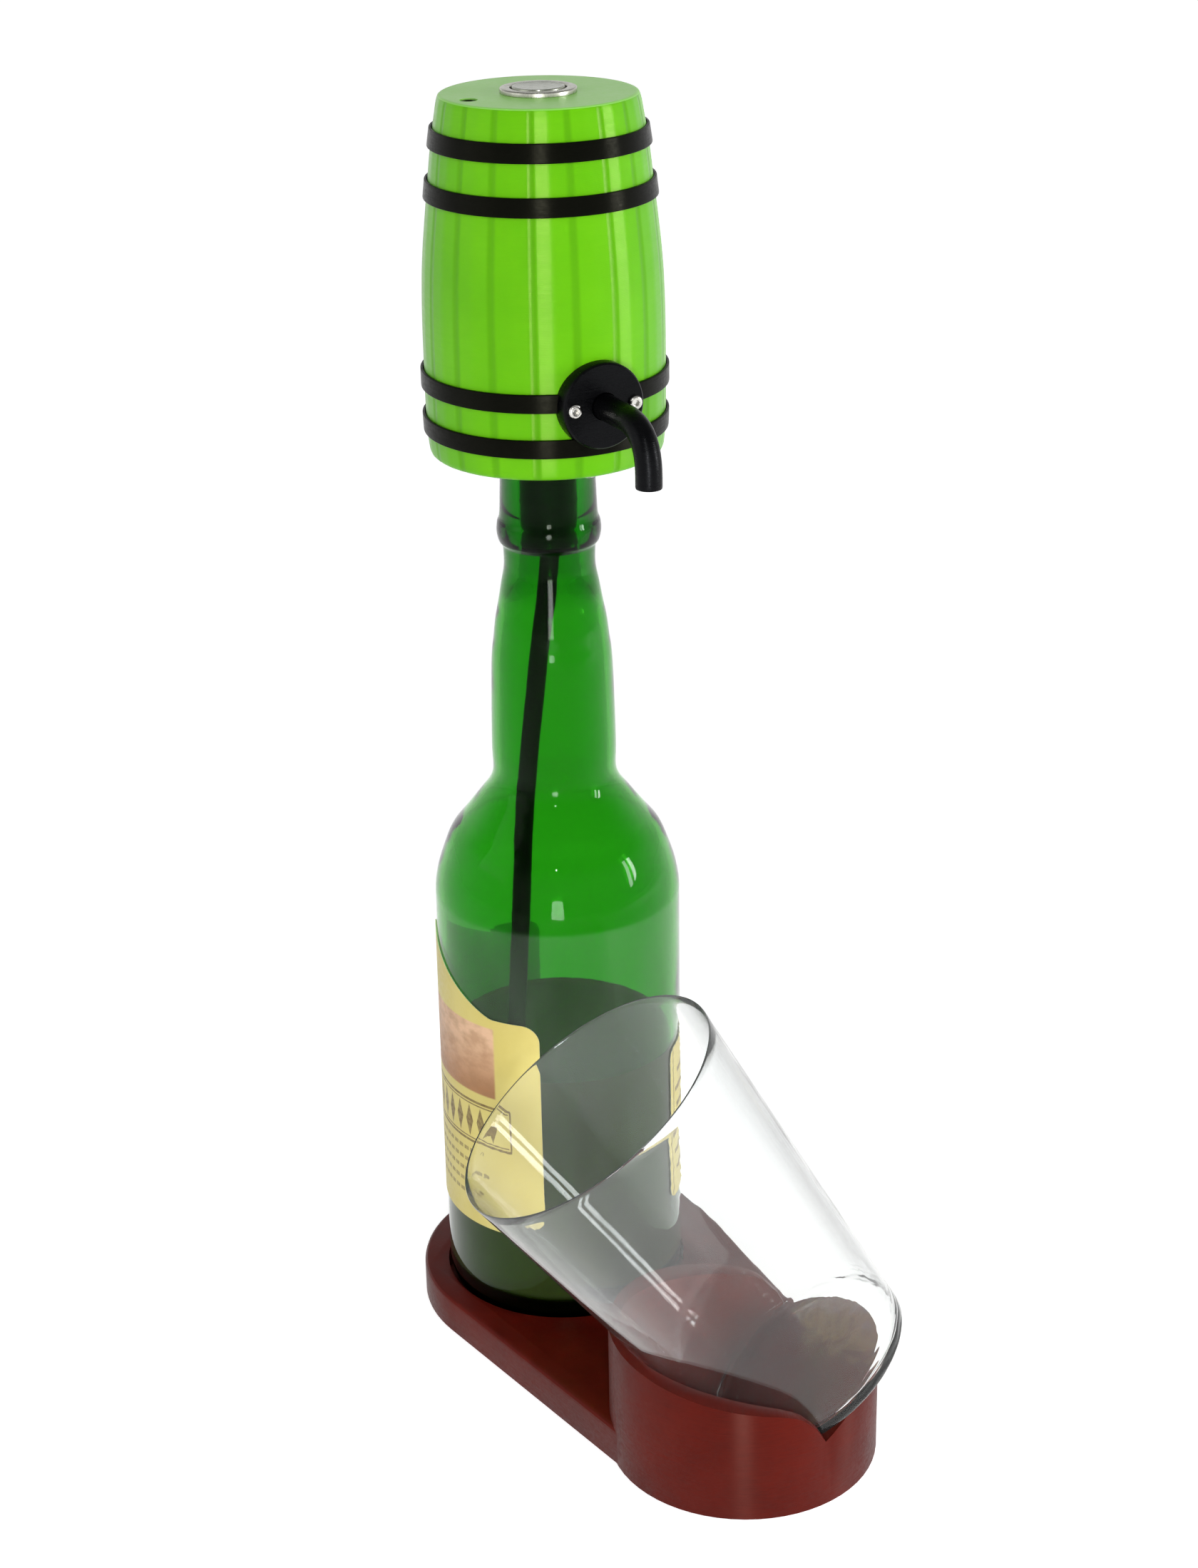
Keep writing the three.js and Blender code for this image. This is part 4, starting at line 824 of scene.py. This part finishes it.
def tumbler():
    """The glass, a little thinner towards its rim, with a shallow hollow under its foot."""
    def side(height):
        return FOOT_RADIUS + (RIM_RADIUS - FOOT_RADIUS) * height / TUMBLER_LENGTH

    rim, wall, rim_wall = TUMBLER_LENGTH, 1.1, 0.6
    foot = [(0, 0.5), (20, 0.45), (29, 0.2), (31.5, 0), (32.9, 0)]
    heel = flowing([(32.9, 0), (34.0, 0.4), (34.6, 1.2), (side(2.2), 2.2)], 5)[1:]
    outside = [(side(height), height) for height in (6, 12, 30, 50, 70, 90, 110, 118, 121.3)]
    lip = [(RIM_RADIUS - 0.15, rim - 0.2), (RIM_RADIUS - 0.3, rim), (RIM_RADIUS - 0.45, rim - 0.2),
           (RIM_RADIUS - rim_wall, rim - 0.7)]
    inside = [(side(height) - rim_wall - (wall - rim_wall) * min((rim - height) / 60, 1), height)
              for height in (118, 110, 90, 70, 50, 30, 14, 6)]
    well = flowing([(side(6) - wall, 6), (side(4.6) - wall - 0.2, 4.2), (32.2, 3.0), (31.0, 2.5),
                    (28, 2.3), (18, 2.3), (0, 2.3)], 5)[1:]
    piece("tumbler_glass", *turned(foot + heel + outside + lip + inside + well, 192), clear_glass, "tumbler",
          "clear_glass", ["tumbler"], turn=moved(*FOOT_PLACE) @ TUMBLER_TURN)


tumbler()

# ---------------------------------------------------------------- stand


def stand():
    """The stand's own solid with its flat faces joined and its edges softened."""
    mesh = frame["nodes"]["stand"].data.copy()
    work = bmesh.new()
    work.from_mesh(mesh)
    bmesh.ops.remove_doubles(work, verts=work.verts, dist=2e-6)
    bmesh.ops.dissolve_limit(work, angle_limit=math.radians(1.2), verts=work.verts, edges=work.edges)
    work.to_mesh(mesh)
    work.free()
    whole = shown("whole", mesh)
    soften = whole.modifiers.new("soften", "BEVEL")
    soften.limit_method, soften.angle_limit = "ANGLE", math.radians(28)
    soften.width, soften.segments = 0.45 * MM, 3
    finished("stand_body", changed(whole), maroon, "stand", ["stand"], crease=30)


stand()

# ---------------------------------------------------------------- barrel head

BARREL_SHARES = [
    (0, 0.922), (0.004, 0.954), (0.013, 0.973), (0.031, 0.982), (0.075, 0.992), (0.14, 0.998), (0.24, 1),
    (0.34, 1), (0.42, 0.997), (0.5, 0.989), (0.545, 0.981), (0.595, 0.969), (0.64, 0.955), (0.69, 0.939),
    (0.76, 0.915), (0.837, 0.89), (0.9, 0.864), (0.948, 0.84), (0.976, 0.826), (0.989, 0.816), (0.997, 0.804),
    (1, 0.786)]
BARREL_LINE = scaled_line(BARREL_SHARES, BARREL_RADIUS, HEAD_BOTTOM, BARREL_HEIGHT)
GROOVE_DEGREES = 2.4  # half a groove's width
GROOVE_DEPTH = 0.16
FLATNESS = 0.10  # how far a stave's flanks lie in from the round
HOLE_SIDES = 48
SOCKET_REACH, SOCKET_RADIUS, SOCKET_HEADING = 23.35, 2.7, math.radians(-85)
SPOUT_HEIGHT, SPOUT_BORE = 323.15, 4.25


def stave_angles():
    """Angles for the barrel's corners, in degrees: close together at each groove."""
    offsets = [0, 0.4, 0.8, 1.2, 1.6, 2.0, 2.6, 4, 6, 8, STAVE_DEGREES / 2]
    offsets = sorted({-value for value in offsets[:-1]} | set(offsets))
    return [stave * STAVE_DEGREES + offset for stave in range(STAVES) for offset in offsets]


def drill(name, radius, start, end, turn):
    """A round cutter along its own axis, from start to end."""
    outline = [(0, start), (radius, start), (radius, end), (0, end)]
    return mended(plain_mesh(name, *turned(outline, HOLE_SIDES), turn))


def barrel():
    """The barrel's shell: grooved staves, a wall and a top, with the holes for the socket and the spout."""
    half = STAVE_DEGREES / 2
    angles = stave_angles()
    inside = [(28.2, HEAD_TOP), (9.6, HEAD_TOP), (9.6, HEAD_TOP - 3), (27.2, HEAD_TOP - 3)]
    inside += [(reach_at(BARREL_LINE, height) - 2.2, height) for height in (400, 390, 375, 360, 340, 320, 308)]
    inside += [(32.9, 304), (32.9, 303.2), (32.9, HEAD_BOTTOM)]
    outline = BARREL_LINE + inside
    verts = []
    for at, (reach, height) in enumerate(outline):
        fade = 0.0
        if at < len(BARREL_LINE):
            rise = (height - HEAD_BOTTOM) / BARREL_HEIGHT
            fade = min(max((1.0 - rise) / 0.012, 0), 1) * min(max(rise / 0.004, 0), 1)
        for degrees in angles:
            off = (degrees + half) % STAVE_DEGREES - half
            share = max(1 - abs(off) / GROOVE_DEGREES, 0)
            depth = GROOVE_DEPTH * share * share * (3 - 2 * share) * fade
            flat = FLATNESS * (1 - (abs(abs(off) - half / 2) / (half / 2)) ** 2) * fade
            verts.append(polar(reach - depth - flat, math.radians(degrees + half), height))
    faces = bridged(rings_of(len(outline), len(angles)), closed=True)
    socket_hole = drill("socket_hole", SOCKET_RADIUS, HEAD_TOP - 8, HEAD_TOP + 5,
                        moved(*polar(SOCKET_REACH, SOCKET_HEADING, 0)))
    spout_hole = drill("spout_hole", SPOUT_BORE, 20, 60, moved(0, 0, SPOUT_HEIGHT) @ SIDEWAYS)
    result = cut_mesh(mended(plain_mesh("barrel", verts, faces)), [socket_hole, spout_hole])
    result.transform(HEAD)
    finished("barrel_staves", result, lime, "head", ["barrel_shell"], crease=32)


barrel()


def hoop(name, node, rise, gap_degrees=0):
    """A hoop round the barrel, open by gap_degrees on each side of the spout."""
    width, thick, gap = 5.6, 0.7, 0.3
    low = HEAD_BOTTOM + rise - width / 2
    inner = [(reach_at(BARREL_LINE, low + width * share) + gap, low + width * share) for share in (0, 0.5, 1)]
    outer = [(reach_at(BARREL_LINE, low + width * share) + gap + thick, low + width * share)
             for share in (1, 0.75, 0.5, 0.25, 0)]
    outline = rounded(inner + outer, [0, 0, 0, 0.3, 0, 0, 0, 0.3], 4)
    whole = turned(outline, 216, closed=True)
    shape = arc(outline, gap_degrees, 360 - gap_degrees, 200) if gap_degrees else whole
    piece(name, *shape, black, "head", "black_plastic", [node], turn=HEAD)


def arc(outline, start, end, steps):
    """Part of a turned ring, from the start to the end angle in degrees, with closed ends."""
    verts = [polar(reach, math.radians(start + (end - start) * step / steps), height)
             for step in range(steps + 1) for reach, height in outline]
    rings = rings_of(steps + 1, len(outline))
    return verts, bridged(rings) + [rings[0], rings[-1][::-1]]


hoop("hoop_a", "hoop_top", 95.9)
hoop("hoop_b", "hoop_upper", 80.8)
hoop("hoop_c", "hoop_lower", 24.1, gap_degrees=17.9)
hoop("hoop_d", "hoop_bottom", 10.3)

# ---------------------------------------------------------------- spout

FLANGE_BACK, FLANGE_FACE, FLANGE_RADIUS, FLANGE_BORE = 33.2, 40.6, 13.0, 4.2
SPOUT_REACH, SPOUT_END, SPOUT_BEND, PIPE_RADIUS = 68.3, 305.7, 14.0, 3.95
SCREW_OFFSET, SCREW_SIDES, HEXAGON_REACH = 9.85, 48, 0.98
TO_SPOUT = HEAD @ moved(0, 0, SPOUT_HEIGHT) @ SIDEWAYS


def spout():
    """The round flange and the bent pipe, with a bore at the pipe's end."""
    flange = [(FLANGE_BORE, FLANGE_BACK), (FLANGE_RADIUS - 0.3, FLANGE_BACK), (FLANGE_RADIUS, 34),
              (FLANGE_RADIUS, FLANGE_FACE - 0.9), (FLANGE_RADIUS - 0.2, FLANGE_FACE - 0.35),
              (FLANGE_RADIUS - 0.6, FLANGE_FACE), (FLANGE_BORE, FLANGE_FACE)]
    piece("flange", *turned(flange, 128, closed=True), spout_black, "head", "black_plastic", ["spout_flange"],
          turn=TO_SPOUT)
    straight = SPOUT_REACH - SPOUT_BEND
    line = [Vector((x, 0, SPOUT_HEIGHT)) for x in (32.6, 36, 40, 44, 48, 52, straight)]
    corner, end = Vector((SPOUT_REACH, 0, SPOUT_HEIGHT)), Vector((SPOUT_REACH, 0, SPOUT_HEIGHT - SPOUT_BEND))
    line += bend(line[-1], corner, end, 12)[1:]
    line += [Vector((SPOUT_REACH, 0, height)) for height in (308, 307, 306.2)]
    tail = [(SPOUT_END + 0.1, 3.85), (SPOUT_END, 3.6), (SPOUT_END, 2.1), (SPOUT_END + 6, 2.0)]
    radii = [PIPE_RADIUS] * len(line) + [radius for height, radius in tail]
    line += [Vector((SPOUT_REACH, 0, height)) for height, radius in tail]
    piece("spout", *swept(line, radii, 40), spout_black, "head", "black_plastic", ["spout_pipe"], crease=50,
          turn=HEAD)


spout()


def screw(name, node, y):
    """A rounded screw head with a hexagon socket."""
    face, sides = FLANGE_FACE, SCREW_SIDES
    outline = [(0, face - 0.1), (2.0, face - 0.1), (2.1, face + 0.1), (2.1, face + 0.75), (1.95, face + 1.05),
               (1.6, face + 1.25), (1.25, face + 1.3), (1.05, face + 1.25)]
    verts, faces = turned(outline, sides)
    rings = rings_of(3, sides, start=len(verts) - sides)
    for height in (1.2, 0.35):
        for side in range(sides):
            angle = 2 * math.pi * side / sides
            six = math.cos(math.pi / 6) / math.cos((angle + math.pi / 6) % (math.pi / 3) - math.pi / 6)
            verts.append(polar(HEXAGON_REACH * six, angle, face + height))
    faces += bridged(rings) + [rings[-1][::-1]]
    turn = HEAD @ moved(0, y, SPOUT_HEIGHT) @ SIDEWAYS
    piece(name, verts, faces, bright_steel, "head", "bright_steel", [node], crease=35, turn=turn)


screw("screw_a", "spout_screw_1", -SCREW_OFFSET)
screw("screw_b", "spout_screw_2", SCREW_OFFSET)

# ---------------------------------------------------------------- push button

BEZEL_HEIGHT, BEZEL_RADIUS, BEZEL_BORE, BEZEL_NECK = 1.5, 11.4, 8.45, 9.3
CAP_RADIUS, CAP_PROUD, CAP_STEM, CAP_TRAVEL = 7.85, 0.3, 2.6, 1.5


def button():
    """The steel bezel with a thin black rubber ring that paints shade into its gap, and the cap with a rim round
    its shallow hollow.
    """
    top = HEAD_TOP + BEZEL_HEIGHT
    bezel = [(BEZEL_BORE, HEAD_TOP - 8), (BEZEL_NECK, HEAD_TOP - 8), (BEZEL_NECK, HEAD_TOP), (11.3, HEAD_TOP),
             (BEZEL_RADIUS, HEAD_TOP + 0.1), (BEZEL_RADIUS, top - 0.4), (11.32, top - 0.2), (11.15, top - 0.06),
             (10.9, top), (8.75, top), (8.55, top - 0.08), (BEZEL_BORE, top - 0.3)]
    piece("bezel", *turned(bezel, 128, closed=True), satin_steel, "head", "satin_steel", ["button_bezel"],
          turn=HEAD)
    # painted shade: a thin black ring that darkens the gap between bezel and cap
    gap_shade_ring = [(8.05, top - 6), (8.4, top - 6), (8.4, top - 0.45), (8.05, top - 0.45)]
    piece("bezel_gap_shade", *turned(gap_shade_ring, 96, closed=True), rubber, "head", "black_rubber", turn=HEAD)
    high = top + CAP_PROUD
    cap = [(0, high - 0.25), (3, high - 0.24), (5.5, high - 0.18), (7, high - 0.06), (7.4, high),
           (7.7, high - 0.1), (CAP_RADIUS, high - 0.4), (CAP_RADIUS, high - 4), (CAP_STEM, high - 4),
           (CAP_STEM, high - 13.2), (0, high - 13.2)]
    piece("button_cap", *turned(cap, 128), cap_steel, "plunger", "bright_steel", ["button_plunger"], turn=HEAD)


button()


def button_spring():
    """The return spring."""
    wire, coil, turns = 0.35, 4.2, 4
    low, high = (corner[2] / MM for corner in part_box("button_spring"))
    steps = 24 * turns
    path = [Vector(polar(coil, share * turns * 2 * math.pi, low + wire + (high - low - 2 * wire) * share))
            for share in (step / steps for step in range(steps + 1))]
    made = piece("spring", *swept(path, wire, 10), bright_steel, "head", "bright_steel", ["button_spring"],
                 turn=HEAD)
    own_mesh(made)


button_spring()

# ---------------------------------------------------------------- looks of the CAD nodes that stay

STAYING = {
    "barrel_cover": lime, "button_nut": satin_steel, "switch_block": black, "charge_socket": black,
    "charge_board": rubber_look("board", linear(20, 90, 48), 0.5),
    "battery_cell": rubber_look("cell_wrap", linear(42, 88, 168), 0.4),
    "battery_cup": black, "pump_stand": black, "pump_cover": rubber_look("pump_white", linear(226, 224, 216), 0.45),
    "shaft_seal": rubber, "motor_can": satin_steel, "stopper_core": rubber, "pump_rotor": rubber,
    "motor_shaft": bright_steel,
    "inlet_hose": rubber_look("hose", linear(214, 220, 212), 0.3),
    "wire_battery_plus": rubber_look("red_wire", linear(178, 35, 28), 0.45),
    "wire_battery_minus": rubber, "wire_motor_board": rubber,
}
SAME = {"pump_housing": "pump_cover", "motor_cap": "pump_cover", "outlet_hose": "inlet_hose",
        "wire_motor_switch": "wire_battery_plus", "wire_switch_board": "wire_battery_plus"}
for which in (1, 2, 3):
    STAYING[f"cover_screw_{which}"] = bright_steel
for name, other in SAME.items():
    STAYING[name] = STAYING[other]
for name, look in STAYING.items():
    node = frame["nodes"][name]
    node.data.materials.clear()
    node.data.materials.append(look)
    node.data.shade_smooth()
    node.data.set_sharp_from_angle(angle=math.radians(35))

# ---------------------------------------------------------------- floor, world and lamps

FLOOR_HALF = 6  # metres, as the other distances from here on
FLOOR_GLOW, FAR_GLOW = 0.62, 0.68  # what makes the lit floor white to the rays that show it
DIM_WORLD, WHITE_WORLD, GREY_OVERHEAD = 0.36, 1.0, 0.3


def floor():
    """A pale floor that keeps the object's shadow."""
    look = Shader("floor")
    speck = look.noise(40, 3)
    colour = look.mix(speck, (0.90, 0.90, 0.91), (0.92, 0.92, 0.93))
    shade = look.add("ShaderNodeBsdfDiffuse", {"Color": colour})
    away = look.vector("LENGTH", look.place)["Value"]
    bright = look.spread(away, 0.6, 2.5, FLOOR_GLOW, FAR_GLOW)
    glow = look.add("ShaderNodeEmission", {"Strength": look.times(look.seen(), bright)})
    look.surface(look.add("ShaderNodeAddShader", {0: shade.outputs[0], 1: glow.outputs[0]}).outputs[0])
    corners = [(-1, -1), (1, -1), (1, 1), (-1, 1)]
    mesh = bpy.data.meshes.new("floor")
    mesh.from_pydata([(x * FLOOR_HALF, y * FLOOR_HALF, 0) for x, y in corners], [], [[0, 1, 2, 3]])
    mesh.materials.append(look.owner)
    shown("floor", mesh)


floor()


def world():
    """Dim for the light it gives. White round the horizon and grey high overhead for the rays that show it."""
    look = Shader("studio", "worlds", "ShaderNodeOutputWorld")
    bpy.context.scene.world = look.owner
    height = look.parts(look.add("ShaderNodeTexCoord").outputs["Generated"])[2]
    overhead = look.spread(height, 0.2, 0.6, WHITE_WORLD, GREY_OVERHEAD, kind="SMOOTHSTEP")
    strength = look.spread(look.seen(), 0, 1, DIM_WORLD, overhead)
    look.surface(look.add("ShaderNodeBackground", {"Color": (1, 1, 1), "Strength": strength}).outputs[0])


world()

TARGET = Vector((0.04, 0, 0.2))
TO_CAMERA = Vector((-camera_forward.x, -camera_forward.y, 0)).normalized()
TO_RIGHT = Vector((-TO_CAMERA.y, TO_CAMERA.x, 0))
LAMPS = (  # name, distance from the target to the camera's side, to the right and up, width, height, watts
    ("window", 2.2, 0.02, 0.12, 0.4, 0.56, 24),
    ("left_soft", 0.6, -1.6, 0.9, 1.2, 1.2, 4.4),
    ("right_near", 0.19, 1.674, 0.4, 0.12, 0.55, 8),
    ("right_far", 0.4, 1.674, 0.4, 0.12, 0.55, 5.5),
    ("spot", 1.5, 0.03, 1.15, 0.07, 0.07, 4.8),
)


def lamp(name, place, width, height, power):
    data = bpy.data.lights.new(name, "AREA")
    data.shape, data.size, data.size_y = "RECTANGLE", width, height
    data.energy = power
    made = shown(name, data)
    made.location = place
    made.rotation_mode = "QUATERNION"
    made.rotation_quaternion = (TARGET - place).to_track_quat("-Z", "Y")


for name, near, right, up, width, height, power in LAMPS:
    lamp(name, TARGET + TO_CAMERA * near + TO_RIGHT * right + Vector((0, 0, up)), width, height, power)

bpy.context.scene.view_settings.view_transform = "Standard"
